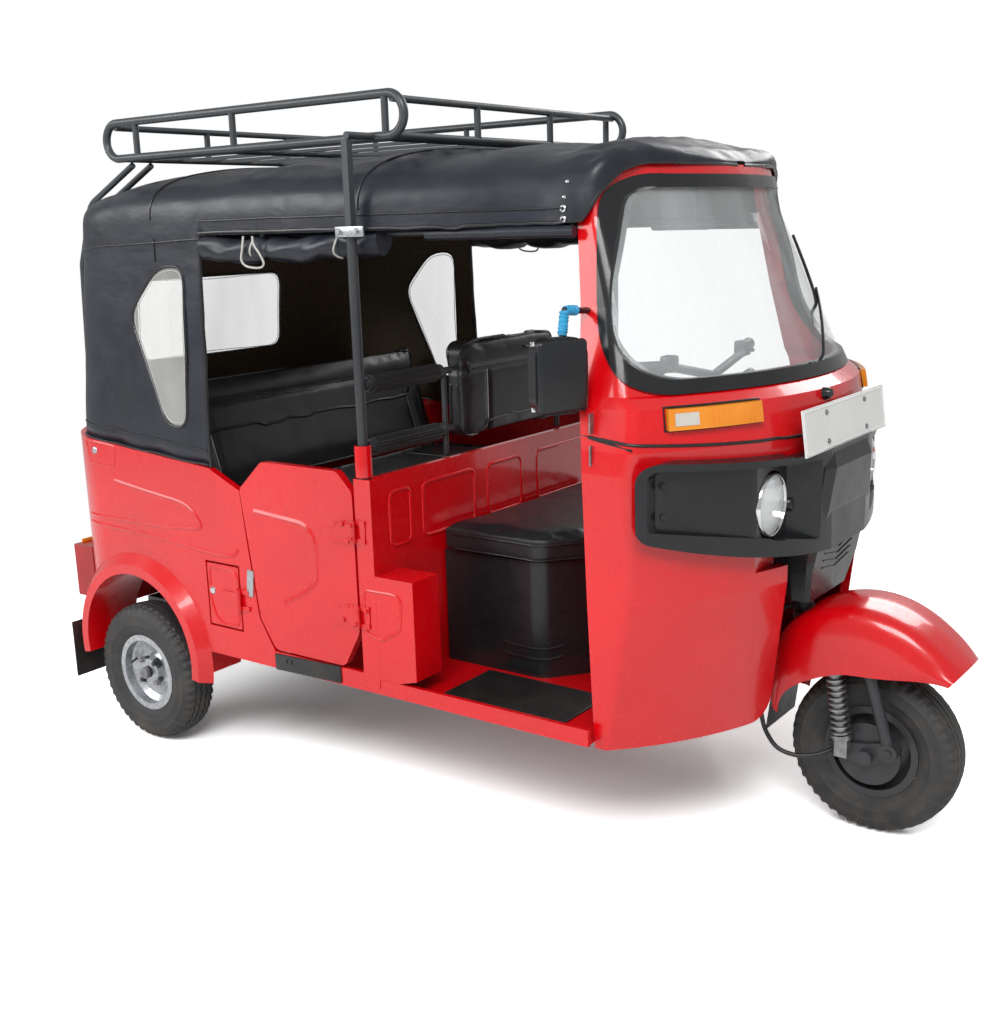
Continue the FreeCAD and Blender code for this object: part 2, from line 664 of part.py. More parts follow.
def make_driver_seat():
    box_body = design_body("seat_box")
    half = "seat_box_half_width"
    rear = "partition_x + 6"
    sketch = drawn(box_body, "XY_Plane", [
        (rear, "-(%s)" % half), ("seat_box_front_x - 90", "-(%s)" % half), ("seat_box_front_x", "-(%s - 110)" % half),
        ("seat_box_front_x", "%s - 110" % half), ("seat_box_front_x - 90", half), (rear, half)])
    pad = padded(box_body, sketch, "seat_top_z - seat_wall - sill_z - floor_wall - seat_gap")
    bind(box_body, z="sill_z + floor_wall")
    y = size["seat_box_half_width"]
    mid = (size["seat_top_z"] - size["seat_wall"] - size["sill_z"] - size["floor_wall"] - size["seat_gap"]) / 2
    front = size["seat_box_front_x"]
    rounded(box_body, pad, [Vector(front - 90, -y, mid), Vector(front - 90, y, mid),
                            Vector(front, -y + 110, mid), Vector(front, y - 110, mid)], "60")
    seat = design_body("driver_seat")
    half = "seat_half_width"
    sketch = drawn(seat, "XY_Plane", [
        (rear, "-(%s)" % half), ("seat_front_x - 90", "-(%s)" % half), ("seat_front_x", "-(%s - 110)" % half),
        ("seat_front_x", "%s - 110" % half), ("seat_front_x - 90", half), (rear, half)])
    pad = padded(seat, sketch, "seat_wall")
    bind(seat, z="seat_top_z - seat_wall")
    y, front, mid = size["seat_half_width"], size["seat_front_x"], size["seat_wall"] / 2
    rounded(seat, pad, [Vector(front - 90, -y, mid), Vector(front - 90, y, mid),
                        Vector(front, -y + 110, mid), Vector(front, y - 110, mid)], "60")
    back = design_body("driver_backrest")
    sketch = drawn(back, "YZ_Plane", [
        ("-backrest_half_width", "backrest_low_z"), ("backrest_half_width", "backrest_low_z"),
        ("backrest_half_width", "backrest_high_z"), ("-backrest_half_width", "backrest_high_z")])
    pad = padded(back, sketch, "backrest_wall", back=True)
    bind(back, x="partition_x - 8")
    x = -size["backrest_wall"] / 2
    corners = [Vector(x, y, z) for y in (-size["backrest_half_width"], size["backrest_half_width"])
               for z in (size["backrest_low_z"], size["backrest_high_z"])]
    rounded(back, pad, corners, "38")


# Cab

def cab_station(z):
    """Rear edge, half width, nose, front radius and corner radius of the cab's plan at one height."""
    rear, half, nose = size["cab_rear_low_x"], size["cab_half_width"], size["cab_nose_x"]
    keys = [
        (size["cowl_low_z"], rear, half, nose - 41, 809.0, 14.0),
        (475.0, rear - 8, half, nose - 23, 827.0, 26.0),
        (660.0, rear - 16, half, nose - 2, 848.0, 40.0),
        (950.0, rear - 26, half - 1, nose, 850.0, 40.0),
        (1000.0, rear - 28, half - 4, nose + 3, 853.0, 40.0),
        (1090.0, rear - 42, half - 22, nose - 12, 838.0, 40.0),
        (size["screen_low_z"], rear - 49, half - 34, nose - 48, 802.0, 40.0),
        (1300.0, rear - 75, half - 85, nose - 139, 800.0, 36.0),
        (1490.0, rear - 102, half - 120, nose - 231, 800.0, 24.0),
        (size["cab_top_z"], rear - 112, half - 135, nose - 266, 800.0, 14.0),
    ]
    for low, high in zip(keys, keys[1:]):
        if z <= high[0] or high is keys[-1]:
            share = (z - low[0]) / (high[0] - low[0])
            return [a + (b - a) * share for a, b in zip(low[1:], high[1:])]


def cab_wire(z, grow, tail):
    """Plan of the cab: a wide front arc, two round corners and straight sides back to the rear edge."""
    rear, half, nose, radius, corner = cab_station(z)
    middle = nose - radius
    back = rear - tail
    half += grow
    radius += grow
    corner = max(corner + grow, 5.0)
    y = half - corner
    x = middle + math.sqrt((radius - corner) ** 2 - y ** 2)
    out = Vector(x - middle, -y, 0).normalize()
    start = Vector(x, -half, z)
    end = Vector(middle, 0, z) + out * radius
    bulge = Vector(x, -y, z) + (out + Vector(0, -1, 0)).normalize() * corner
    flip = lambda p: Vector(p.x, -p.y, p.z)
    nose_point = Vector(middle + radius, 0, z)
    return Part.Wire([
        Part.LineSegment(Vector(back, -half, z), start).toShape(),
        Part.Arc(start, bulge, end).toShape(),
        Part.Arc(end, nose_point, flip(end)).toShape(),
        Part.Arc(flip(end), flip(bulge), flip(start)).toShape(),
        Part.LineSegment(flip(start), Vector(back, half, z)).toShape(),
        Part.LineSegment(Vector(back, half, z), Vector(back, -half, z)).toShape(),
    ])


def cab_volume(low, high, grow=0.0, tail=0.0):
    """The cab's round-nosed volume between two heights, grown outwards or shrunk inwards."""
    breaks = [475.0, 660.0, 950.0, 1000.0, 1090.0, size["screen_low_z"], 1300.0, 1490.0]
    levels = [low] + [z for z in breaks if low < z < high] + [high]
    return Part.makeLoft([cab_wire(z, grow, tail) for z in levels], True, True)


def seam_line(x):
    """Height of the line between the lower and the upper cowl, which falls towards the nose."""
    return size["cab_seam_z"] - size["cab_seam_fall"] * (x - 608.0) / 337.0


def below_seam(gap):
    top = [Vector(400, -900, seam_line(400) - gap), Vector(1200, -900, seam_line(1200) - gap)]
    return prism(top + [Vector(1200, -900, 0), Vector(400, -900, 0)], Vector(0, 1800, 0))


def screen_outline(inset):
    """Side view of the windscreen's edge, which runs round the front corners of the cab."""
    low, high = size["screen_low_z"], size["screen_high_z"]
    spots = [(760, low), (699, low + 18), (651, low + 57), (614, low + 114), (591, low + 208), (578, low + 330),
             (571, high - 70), (577, high - 34), (597, high - 10), (640, high)]
    moved = []
    for i, (x, z) in enumerate(spots):
        before, after = spots[max(i - 1, 0)], spots[min(i + 1, len(spots) - 1)]
        run = Vector(after[0] - before[0], after[1] - before[1], 0).normalize()
        if i in (0, len(spots) - 1):
            run = Vector(-1 if i == 0 else 1, 0, 0)
        moved.append(Vector(x + run.y * inset, -1000, z - run.x * inset))
    curve = Part.BSplineCurve()
    curve.interpolate(moved)
    ahead = [Vector(1300, -1000, moved[-1].z), Vector(1300, -1000, moved[0].z)]
    return Part.Wire([curve.toShape(), Part.LineSegment(moved[-1], ahead[0]).toShape(),
                      Part.LineSegment(ahead[0], ahead[1]).toShape(), Part.LineSegment(ahead[1], moved[0]).toShape()])


def screen_prism(inset):
    return Part.Face(screen_outline(inset)).extrude(Vector(0, 2000, 0))


def lamp_recess(grow):
    """Box let into the lower cowl behind the lamps and the centre panel, grown to line it."""
    high = size["fascia_top_z"] - 7
    return box(size["lamp_x"] - 27 - grow, 1300, -330 - grow, 330 + grow, 700, high + grow)


def make_cab():
    wall, gap = size["cab_wall"], size["cab_seam_gap"] / 2
    low, seam, top = size["cowl_low_z"], size["cab_seam_z"], size["cab_top_z"]
    inner = cab_volume(low - 1, seam + 30, -wall, wall + 90).cut(lamp_recess(wall))
    lower = cab_volume(low, seam + 20).cut(lamp_recess(0.0)).cut(inner).common(below_seam(gap))
    half, r = size["cowl_gap_half_width"], size["cowl_gap_round"]
    opening = [box(700, 1200, -half, half, 0, size["cowl_gap_top_z"])]
    for side in SIDES.values():
        y = side * (half + r)
        foot = box(700, 1200, min(side * half, y), max(side * half, y), 0, low + r)
        opening.append(foot.cut(Part.makeCylinder(r, 600, Vector(650, y, low + r), Vector(1, 0, 0))))
    holes = [Part.makeCylinder(size["lamp_diameter"] / 2 + 0.3, 300, Vector(800, side * size["lamp_y"], size["lamp_z"]),
                               Vector(1, 0, 0)) for side in SIDES.values()]
    lower = lower.cut(opening + holes)
    solid_piece("lower_cowl", max(lower.Solids, key=lambda s: s.Volume))
    upper = cab_volume(seam - 60, top).cut(cab_volume(seam - 70, top - wall, -wall, wall + 90)).cut(below_seam(-gap))
    upper = upper.cut(screen_prism(0.0))
    solid_piece("upper_cowl", max(upper.Solids, key=lambda s: s.Volume))
    ring = cab_volume(seam + 20, top - 5, 6).cut(cab_volume(seam, top, -16, 60))
    seal = ring.common(screen_prism(0.3).cut(screen_prism(size["seal_wide"])))
    solid_piece("windscreen_seal", seal)
    pane = cab_volume(seam + 20, top - 5, -3).cut(cab_volume(seam, top, -3 - size["glass_wall"], 60))
    solid_piece("windscreen_glass", pane.common(screen_prism(size["seal_wide"] + 0.2)))


def fascia_side(rim):
    """Side view of the moulding: it falls towards the nose and has a round end."""
    start = size["fascia_end_x"] + rim
    top, low = 987 - rim, 815 + rim
    corners = [Vector(start, -900, low), Vector(1200, -900, low - 183), Vector(1200, -900, top - 60),
               Vector(start, -900, top)]
    wire = round_corners(corners, 40 - rim)
    return Part.Face(wire).extrude(Vector(0, 1800, 0))


def fascia_panel():
    """Centre panel between the lamps, tapering down in front of the wheel opening."""
    wires = []
    for z, front, back, half, side in ((582, 931, 886, 108, 6), (660, 947, 896, 143, 8), (730, 961, 888, 141, 30),
                                       (815, 979, 888, 132, 34), (914, 988, 888, 112, 38),
                                       (size["fascia_top_z"], 976, 888, 104, 42)):
        spots = [Vector(back, -half - side, z), Vector(front - 12, -half - side, z), Vector(front, -half, z),
                 Vector(front, half, z), Vector(front - 12, half + side, z), Vector(back, half + side, z)]
        wires.append(Part.makePolygon(spots + spots[:1]))
    return Part.makeLoft(wires, True, True)


def make_fascia():
    """Black moulding across the nose, with a hollow round each lamp and a tapered centre panel."""
    rim, r, lamp_x = size["fascia_rim"], size["lamp_diameter"] / 2, size["lamp_x"]
    low, high = 640.0, size["cab_seam_z"] + 60
    band = cab_volume(low, high, size["fascia_stand"]).common(fascia_side(0.0))
    band = band.common(box(600, size["fascia_front_x"], -900, 900, 0, 1200))
    cap = box(600, 1300, -260, 260, size["fascia_top_z"], 1200)
    cover = cab_volume(size["cowl_low_z"] + 5, high, 0.3, 60).cut(lamp_recess(-0.3))
    gap = box(700, 1200, -size["cowl_gap_half_width"], size["cowl_gap_half_width"], 0, size["cowl_gap_top_z"] - 0.3)
    shell = fused([band, fascia_panel()]).cut([cover.cut(gap), cap])
    troughs = []
    for side in SIDES.values():
        front = [Vector(500, side * 148, 752), Vector(500, side * 148, 942), Vector(500, side * 660, 976),
                 Vector(500, side * 660, 849)]
        window = Part.Face(round_corners(front, 24)).extrude(Vector(700, 0, 0)).common(fascia_side(rim))
        plan = [(730, 582), (772, 543), (lamp_x - 14, 368), (lamp_x - 6, 363), (lamp_x - 6, 206), (985, 148),
                (1300, 148), (1300, 900), (730, 900)]
        troughs.append(window.common(prism([Vector(x, side * y, 500) for x, y in plan], Vector(0, 0, 700))))
        troughs.append(Part.makeCylinder(r + 5, 300, Vector(800, side * size["lamp_y"], size["lamp_z"]), Vector(1, 0, 0)))
    shell = shell.cut(troughs)
    solid_piece("headlamp_fascia", max(shell.Solids, key=lambda s: s.Volume))
    lamps = [Part.makeCylinder(r, size["lamp_deep"], Vector(lamp_x - size["lamp_deep"], side * size["lamp_y"],
                                                            size["lamp_z"]), Vector(1, 0, 0)) for side in SIDES.values()]
    solid_piece("headlamps", Part.makeCompound(lamps))


def make_front_trim():
    z0, z1 = 1045.0, 1090.0
    skin = cab_volume(z0 - 5, z1 + 5, 14).cut(cab_volume(z0 - 10, z1 + 10, 0.4, 60))
    ends = [(math.cos(math.radians(a)), -math.sin(math.radians(a))) for a in (21.7, 37.8)]
    block = prism([Vector(100 + 500 * ends[0][0], 500 * ends[0][1], z0), Vector(100 + 1200 * ends[0][0], 1200 * ends[0][1], z0),
                   Vector(100 + 1200 * ends[1][0], 1200 * ends[1][1], z0), Vector(100 + 500 * ends[1][0], 500 * ends[1][1], z0)],
                  Vector(0, 0, z1 - z0))
    solid_piece("front_indicators", both_sides(skin.common(block)))
    half = size["plate_long"] / 2
    x, foot = size["fascia_front_x"] - 6, size["fascia_top_z"] + 0.3
    top = foot + size["plate_high"]
    front = prism([Vector(x, -half, foot), Vector(x - size["plate_lean"], -half, top),
                   Vector(x - size["plate_lean"] - 4, -half, top), Vector(x - 4, -half, foot)], Vector(0, 2 * half, 0))
    rear = box(size["tail_x"] - 4.3, size["tail_x"] - 0.3, -half / 2, half / 2, size["hatch_high_z"] + 34,
               size["hatch_high_z"] + 34 + size["plate_high"])
    solid_piece("number_plates", Part.makeCompound([front, rear]))
    dash = cab_volume(size["cab_seam_z"] - 55, size["cab_seam_z"] + 40, -size["cab_wall"] - 0.5, 0)
    tunnel = rod(column_point(-300), column_point(700), size["column_radius"] + 16)
    dash = dash.common(box(650, 900, -556, 556, 0, 2000)).cut(tunnel)
    solid_piece("dashboard", dash)
    wall = box(size["bulkhead_x"], size["bulkhead_x"] + 6, -size["cab_half_width"] + 24, size["cab_half_width"] - 24,
               size["sill_z"] + size["floor_wall"] + 0.0, size["cab_seam_z"] - 55.3)
    inside = cab_volume(size["sill_z"] - 1, size["cab_seam_z"], -size["cab_wall"] - 0.3, 0)
    solid_piece("front_bulkhead", wall.common(inside).cut(tunnel))


def make_mirrors():
    heads = []
    low, high, wide = size["mirror_low_z"], size["mirror_high_z"], size["mirror_wide"] / 2
    for side in SIDES.values():
        corners = [Vector(0, -wide, low), Vector(0, wide, low), Vector(0, wide, high), Vector(0, -wide, high)]
        head = Part.Face(round_corners(corners, 40)).extrude(Vector(30, 0, 0))
        centre = Vector(size["mirror_x"], side * size["mirror_y"], 0)
        head.Placement = Placement(centre, Rotation(Vector(0, 0, 1), side * size["mirror_turn_deg"]))
        root = Vector(size["mirror_x"] + 17, side * (size["cab_half_width"] - 130), high + 44)
        elbow = Vector(size["mirror_x"] + 12, side * (size["mirror_y"] - 24), high + 54)
        foot = Vector(size["mirror_x"] + 12, side * (size["mirror_y"] - 6), high - 30)
        arm = fused([rod(root, elbow, 7), Part.makeSphere(7.1, elbow), rod(elbow, foot, 7)])
        whole = fused([head, arm]).cut(cab_volume(size["cab_seam_z"] + 2, size["cab_top_z"], 0.3, 30))
        heads.append(max(whole.Solids, key=lambda solid: solid.Volume))
    solid_piece("mirrors", Part.makeCompound(heads))


# Hood

def hood_wire(x, half, crown, low, lean=0.0):
    """One cross section of the hood: flat foot, straight sides and a full round roof."""
    gutter = size["gutter_z"]
    rise = crown - gutter
    spots = []
    for share in (1.0, 0.985, 0.93, 0.82, 0.6, 0.3, 0.0):
        spots.append((half * share, gutter + rise * (1 - share ** 2.5) ** 0.25))
    ring = [(y, z) for y, z in spots] + [(-y, z) for y, z in reversed(spots[:-1])]
    at = lambda y, z: Vector(x + (z - low) * lean, y, z)
    roof = Part.BSplineCurve()
    roof.interpolate([at(y, z) for y, z in ring])
    foot = half + (hood_low_half - hood_half)
    edges = [
        roof.toShape(),
        Part.LineSegment(at(-half, gutter), at(-foot, low)).toShape(),
        Part.LineSegment(at(-foot, low), at(foot, low)).toShape(),
        Part.LineSegment(at(foot, low), at(half, gutter)).toShape(),
    ]
    return Part.Wire(edges)


def hood_volume(inset, low, ahead=0.0):
    rear = size["tail_x"] + 4
    half, crown = hood_half, size["crown_z"]
    lean = 0.10
    stations = [
        (rear, half - 190, crown - 92), (rear + 22, half - 112, crown - 78), (rear + 70, half - 48, crown - 60),
        (rear + 150, half - 10, crown - 42), (rear + 320, half, crown - 22), (-660, half, crown - 8),
        (-200, half - 6, crown), (120, half - 30, crown - 1), (360, half - 72, crown - 5), (537, half - 102, crown - 12),
        (588, half - 152, crown - 21), (644, half - 262, crown - 42), (687, half - 470, crown - 68),
    ]
    wires = []
    for i, (x, wide, top) in enumerate(stations):
        sway = lean * max(0.0, 1.0 - (x - rear) / 420.0)
        shift = inset if i < 5 else (-ahead if i == len(stations) - 1 else 0.0)
        wires.append(hood_wire(x + shift, wide - inset, top - inset, low, sway))
    return Part.makeLoft(wires, True, False)


def make_hood():
    low = size["hem_front_z"] - 60
    outer = hood_volume(0.0, low)
    inner = hood_volume(size["hood_wall"], low - 10, 9)
    skin = outer.cut(inner)
    shell = skin.cut(below_hem(-size["seat_gap"]))
    doorway = box(size["hood_front_x"], 1200, -900, 900, 0, size["gutter_z"])
    top = size["cab_top_z"] + 0.4
    edge = [(530, size["gutter_z"] - 5), (538, size["gutter_z"] + 4), (566, 1543), (588, 1590), (604, top), (1200, top),
            (1200, 900), (530, 900)]
    lift = prism([Vector(x, -900, z) for x, z in edge], Vector(0, 1800, 0))
    corner = size["cab_half_width"] - 118.5
    shoulder = box(size["cab_rear_low_x"] - 113, 1200, -corner, corner, 1400, top)
    shell = shell.cut(doorway).cut(lift).cut(shoulder).cut(quarter_window(0.0)).cut(rear_window(0.0))
    shell = max(shell.Solids, key=lambda s: s.Volume)
    solid_piece("canopy", shell)
    solids = []
    for group in (skin.common(quarter_window(0.4)), skin.common(rear_window(0.4))):
        solids += [s for s in group.Solids if s.Volume > 20000]
    solid_piece("canopy_windows", Part.makeCompound(solids))
    r = size["curtain_radius"]
    y, z = 5 - hood_half, size["gutter_z"] - r - 0.3
    rolls = rod(Vector(size["hood_front_x"] + 14, y, z), Vector(size["pole_x"] - 120, y, z), r)
    solid_piece("side_curtains", both_sides(rolls))


def quarter_window(inset):
    """D-shaped side windows: upright front edge, rear edge running out to a blunt point."""
    corners = [(-758, 1396), (-645, 1400), (-660, 958), (-748, 965), (-884, 1268)]
    wire = round_corners([Vector(x, -900, z) for x, z in corners], 34 - inset)
    face = Part.Face(wire)
    if inset:
        face = Part.Face(wire.makeOffset2D(-inset))
    return face.extrude(Vector(0, 1800, 0))


def rear_window(inset):
    low, high, half = 1085 + inset, 1350 - inset, 300 - inset
    x = size["tail_x"] - 100
    corners = [Vector(x, -half, low), Vector(x, half, low), Vector(x, half, high), Vector(x, -half, high)]
    return Part.Face(round_corners(corners, 45)).extrude(Vector(260, 0, 0))


# Roof rack

def make_rack():
    r = size["rack_tube_radius"]
    low, high = size["rack_low_z"], size["rack_high_z"]
    rear, front = size["rack_rear_x"], size["rack_front_x"]
    y = -size["rack_half_width"]
    bend = (high - low) / 2
    mid = (high + low) / 2
    loop = [Vector(rear + bend, y, low), Vector(front - bend, y, low), Vector(front, y, mid),
            Vector(front - bend, y, high), Vector(rear + bend, y, high), Vector(rear, y, mid)]
    edges = [Part.LineSegment(loop[0], loop[1]).toShape(), Part.Arc(loop[1], loop[2], loop[3]).toShape(),
             Part.LineSegment(loop[3], loop[4]).toShape(), Part.Arc(loop[4], loop[5], loop[0]).toShape()]
    ring = Part.Wire(Part.makeCircle(r, loop[0], Vector(1, 0, 0)))
    side = Part.Wire(edges).makePipeShell([ring], True, False)
    posts = [rod(Vector(x, y, low), Vector(x, y, high), r * 0.8)
             for x in (rear + 130, rear + 520, front - 58)]
    whole = [side, side.mirror(Vector(0, 0, 0), Vector(0, 1, 0))]
    whole += posts + [p.mirror(Vector(0, 0, 0), Vector(0, 1, 0)) for p in posts]
    for x in (rear + 42, front - 36):
        whole.append(rod(Vector(x, y, high - 12), Vector(x, -y, high - 12), r * 0.8))
        whole.append(rod(Vector(x, y, low), Vector(x, -y, low), r * 0.8))
        for post_y in (y / 3, -y / 3):
            whole.append(rod(Vector(x, post_y, low), Vector(x, post_y, high - 12), r * 0.8))
    whole.append(rod(Vector(size["pole_x"], -pole_y, low), Vector(size["pole_x"], pole_y, low), r * 0.8))
    whole.append(rod(Vector((rear + front) / 2 - 90, y, low), Vector((rear + front) / 2 - 90, -y, low), r * 0.8))
    slats = 7
    for i in range(slats):
        at = y * 0.8 + i * (-y * 1.6) / (slats - 1)
        whole.append(box(rear + 42, front - 36, at - 12, at + 12, low - 4, low + 4))
    solid_piece("roof_rack", fused(whole))
    legs = []
    gap = size["pole_radius"]
    x = size["pole_x"]
    top = low - r * 0.8 - 0.3
    legs.append(box(x - 9, x + 9, -pole_y - 9, -pole_y + 9, size["pole_top_z"] + 0.3, top))
    for leg_y in (-450.0, -385.0):
        start = Vector(rear + 42, leg_y, top - 7)
        knee = Vector(size["tail_x"] + 60, leg_y, 1573)
        hip = Vector(size["tail_x"] - 8, leg_y, 1400)
        shin = Vector(size["tail_x"] - 33, leg_y, 1000)
        foot = Vector(size["tail_x"] - 26, leg_y, 850)
        legs.append(bent_tube([start, knee, hip, shin, foot], r * 0.8, 60))
    plate = box(size["tail_x"] - 38, size["tail_x"] - 0.3, -470, -365, 840, 872)
    plate = plate.cut(plan_volume(-0.3, 300, 1300))
    solid_piece("rack_legs", Part.makeCompound([legs[0], fused(legs[1:] + [plate]),
                                                legs[0].mirror(Vector(0, 0, 0), Vector(0, 1, 0)),
                                                fused(legs[1:] + [plate]).mirror(Vector(0, 0, 0), Vector(0, 1, 0))]))


# Engine and rear fittings

def make_engine():
    block = doc.addObject("Part::Box", "engine_block")
    bind(block, Length="400", Width="300", Height="260", x="rear_axle_x - 200", y="-150", z="190")
    keep(block, "engine_block")
    pipe = doc.addObject("Part::Cylinder", "muffler")
    pipe.Placement = Placement(Vector(0, 0, 0), Rotation(Vector(1, 0, 0), -90))
    bind(pipe, Radius="45", Height="352", x="tail_x + 75", y="-75", z="chassis_low_z - 45.3")
    keep(pipe, "muffler")


def make_chassis():
    """Two rails under the body with the cross members that hold the engine."""
    low, half, top = size["chassis_low_z"], rail_y, size["sill_z"] - 0.3
    rear = size["tail_x"] + size["panel_wall"] + 0.3
    rails = [box(rear, size["bulkhead_x"], -half, -half + 50, low, top), box(rear, size["bulkhead_x"], half - 50, half, low, top)]
    cross = [box(x, x + 32, -half + 10, half - 10, low, low + 30) for x in
             (size["rear_axle_x"] - 232.3, size["rear_axle_x"] + 200.3, size["partition_x"] - 40, size["bulkhead_x"] - 60)]
    solid_piece("chassis_frame", fused(rails + cross))


def make_rear_fittings():
    half = fender_half
    rear = arch_centre().x - size["flare_radius"] - 0.9
    flap = box(rear - 4, rear, -half - 10, -half + 120, size["sill_z"] - 175, size["sill_z"] - 0.3)
    solid_piece("mud_flaps", both_sides(flap))
    lamp = box(size["tail_x"] - 30, size["tail_x"] + 60, -570, -470, 385, 548).cut(plan_volume(-0.3, 300, 1300))
    solid_piece("tail_lamps", both_sides(max(lamp.Solids, key=lambda s: s.Volume)))


# Doors and lids

def hinge_parts(point, axis, along, inward):
    """A barrel with its strap on the moving leaf, and two knuckles on a pin for the fixed side."""
    r, pin, barrel, knuckle = (size["hinge_radius"], size["hinge_pin_radius"], size["hinge_barrel"],
                               size["hinge_knuckle"])
    low = point - axis * (barrel / 2)
    moving = rod(low + axis * 0.3, low + axis * (barrel - 0.3), r)
    strap_low = low + axis * 0.3 + inward * (r - 5)
    moving = fused([moving, plate_between(strap_low, axis * (barrel - 0.6), along * 72, inward * 5)])
    moving = moving.cut(rod(low - axis, low + axis * (barrel + 1), pin + 0.05))
    fixed = [rod(low - axis * knuckle, low + axis * (barrel + knuckle), pin)]
    for start in (low - axis * knuckle, low + axis * barrel):
        fixed.append(rod(start, start + axis * knuckle, r))
        fixed.append(plate_between(start + inward * (r - 5), axis * knuckle, along * -36, inward * 5))
    return moving, fused(fixed)


def plate_between(corner, a, b, c):
    face = Part.Face(Part.makePolygon([corner, corner + a, corner + a + b, corner + b, corner]))
    return face.extrude(c)


def make_doors():
    brackets = []
    for name, side in SIDES.items():
        half = size["body_half_width"]
        outline = [Vector(x, -half, z) for x, z in door_edge(0.0)]
        wire = round_corners(outline, 24)
        slab = Part.Face(wire).extrude(Vector(0, size["door_wall"], 0))
        hinges = []
        for z in (size["hinge_low_z"], size["hinge_high_z"]):
            point = Vector(size["door_front_x"] + 4, -half - size["hinge_radius"], z)
            moving, fixed = hinge_parts(point, Vector(0, 0, 1), Vector(-1, 0, 0), Vector(0, 1, 0))
            hinges.append(moving)
            brackets.append(fixed if side < 0 else fixed.mirror(Vector(0, 0, 0), Vector(0, 1, 0)))
        door = fused([slab] + hinges)
        if side > 0:
            door = door.mirror(Vector(0, 0, 0), Vector(0, 1, 0))
        solid_piece("door_" + name, door)
    x, z = size["fuel_lid_x"], size["fuel_lid_z"]
    half = size["body_half_width"]
    wide, high = size["fuel_lid_wide"] / 2, size["fuel_lid_high"] / 2
    lid = box(x - wide, x + wide, -half, -half + size["lid_wall"], z - high, z + high)
    point = Vector(x + wide + 3, -half - size["hinge_radius"], z)
    moving, fixed = hinge_parts(point, Vector(0, 0, 1), Vector(-1, 0, 0), Vector(0, 1, 0))
    solid_piece("fuel_lid", fused([lid, moving]))
    brackets.append(fixed)
    w, tail = size["hatch_half_width"], size["tail_x"]
    hatch = box(tail, tail + size["panel_wall"], -w, w, size["hatch_low_z"], size["hatch_high_z"])
    pieces = [hatch]
    for y in (-170, 170):
        point = Vector(tail - size["hinge_radius"], y, size["hatch_high_z"] + 3)
        moving, fixed = hinge_parts(point, Vector(0, 1, 0), Vector(0, 0, -1), Vector(1, 0, 0))
        pieces.append(moving)
        brackets.append(fixed)
    solid_piece("engine_hatch", fused(pieces))
    solid_piece("hinge_brackets", Part.makeCompound(brackets))


# Steering and front suspension

def column_point(along):
    """A point on the steering axis, so far up it from the fork's crown."""
    rake = math.radians(size["rake_deg"])
    return Vector(size["column_x"] - math.sin(rake) * along, 0, size["column_z"] + math.cos(rake) * along)


def make_steering():
    r = size["column_radius"]
    y = -size["fork_leg_y"]
    pivot = Vector(front_axle_x + size["link_pivot_ahead"], y, size["link_pivot_z"])
    stem = rod(column_point(-20), column_point(600), r * 0.7)
    crown = rod(column_point(-34), column_point(0), r * 1.5)
    bends = [column_point(-20), column_point(-88), Vector(front_axle_x - 72, y, 452),
             Vector(front_axle_x + 4, y, 430), pivot]
    runs = [rod(a, b, 14) for a, b in zip(bends, bends[1:])]
    balls = [Part.makeSphere(14.2, spot) for spot in bends[1:-1]]
    leg = fused(runs + balls)
    eye = rod(pivot + Vector(0, -14, 0), pivot + Vector(0, 14, 0), 22)
    boss = rod(Vector(front_axle_x - 49, y, 440), Vector(front_axle_x - 49, 7.1 - size["guard_half_width"], 440), 10)
    bore = rod(pivot - Vector(0, 40, 0), pivot + Vector(0, 40, 0), 9.05)
    solid_piece("fork", fused([stem, crown, leg, eye, boss]).cut(bore))
    head = rod(column_point(0.3), column_point(330), r * 1.3)
    arms = []
    for along in (110, 290):
        spot = column_point(along)
        arms.append(box(size["bulkhead_x"] + 6, spot.x, -24, 24, spot.z - 10, spot.z + 10))
    head = fused([head] + arms).cut(rod(column_point(-1), column_point(331), r * 0.7 + 0.05))
    solid_piece("steering_head", head)


def make_front_link():
    y = -size["fork_leg_y"]
    pivot = Vector(front_axle_x + size["link_pivot_ahead"], y, size["link_pivot_z"])
    axle = Vector(front_axle_x, y, axle_z)
    tail = Vector(front_axle_x - 97, y, axle_z + 6)
    side = 20.0
    arm = fused([rod(pivot + Vector(0, side, 0), pivot + Vector(0, side + 12, 0), 20)])
    arm_y = y + side + 6
    slab = prism([Vector(pivot.x, arm_y - 6, pivot.z + 16), Vector(pivot.x, arm_y - 6, pivot.z - 16),
                  Vector(axle.x, arm_y - 6, axle.z - 30), Vector(tail.x, arm_y - 6, tail.z - 12),
                  Vector(tail.x, arm_y - 6, tail.z + 12), Vector(axle.x, arm_y - 6, axle.z + 30)], Vector(0, 12, 0))
    pin = rod(pivot + Vector(0, -18, 0), pivot + Vector(0, side + 12, 0), 9)
    stub = rod(Vector(axle.x, arm_y - 16, axle.z), Vector(axle.x, size["hub_diameter"] / 2 + 4, axle.z),
               size["axle_diameter"] / 2)
    nut = rod(Vector(axle.x, arm_y - 26, axle.z), Vector(axle.x, arm_y - 6, axle.z), 18)
    plate = rod(Vector(axle.x, arm_y + 6, axle.z), Vector(axle.x, arm_y + 14, axle.z), 78)
    solid_piece("front_link", fused([arm, slab, pin, stub, nut, plate]))
    foot = Vector(front_axle_x - 55, y, axle_z + 40)
    top = Vector(front_axle_x - 80, y, 427)
    shock = fused([rod(foot, top, 9), rod(foot, foot + (top - foot).normalize() * 12, 25),
                   rod(top - (top - foot).normalize() * 12, top, 25),
                   box(foot.x - 16, foot.x + 16, y - 8, y + side - 0.3, foot.z - 46, foot.z),
                   spring_coil(foot + (top - foot).normalize() * 10, top - (top - foot).normalize() * 10, 19, 4.5, 11)])
    solid_piece("front_spring", shock)


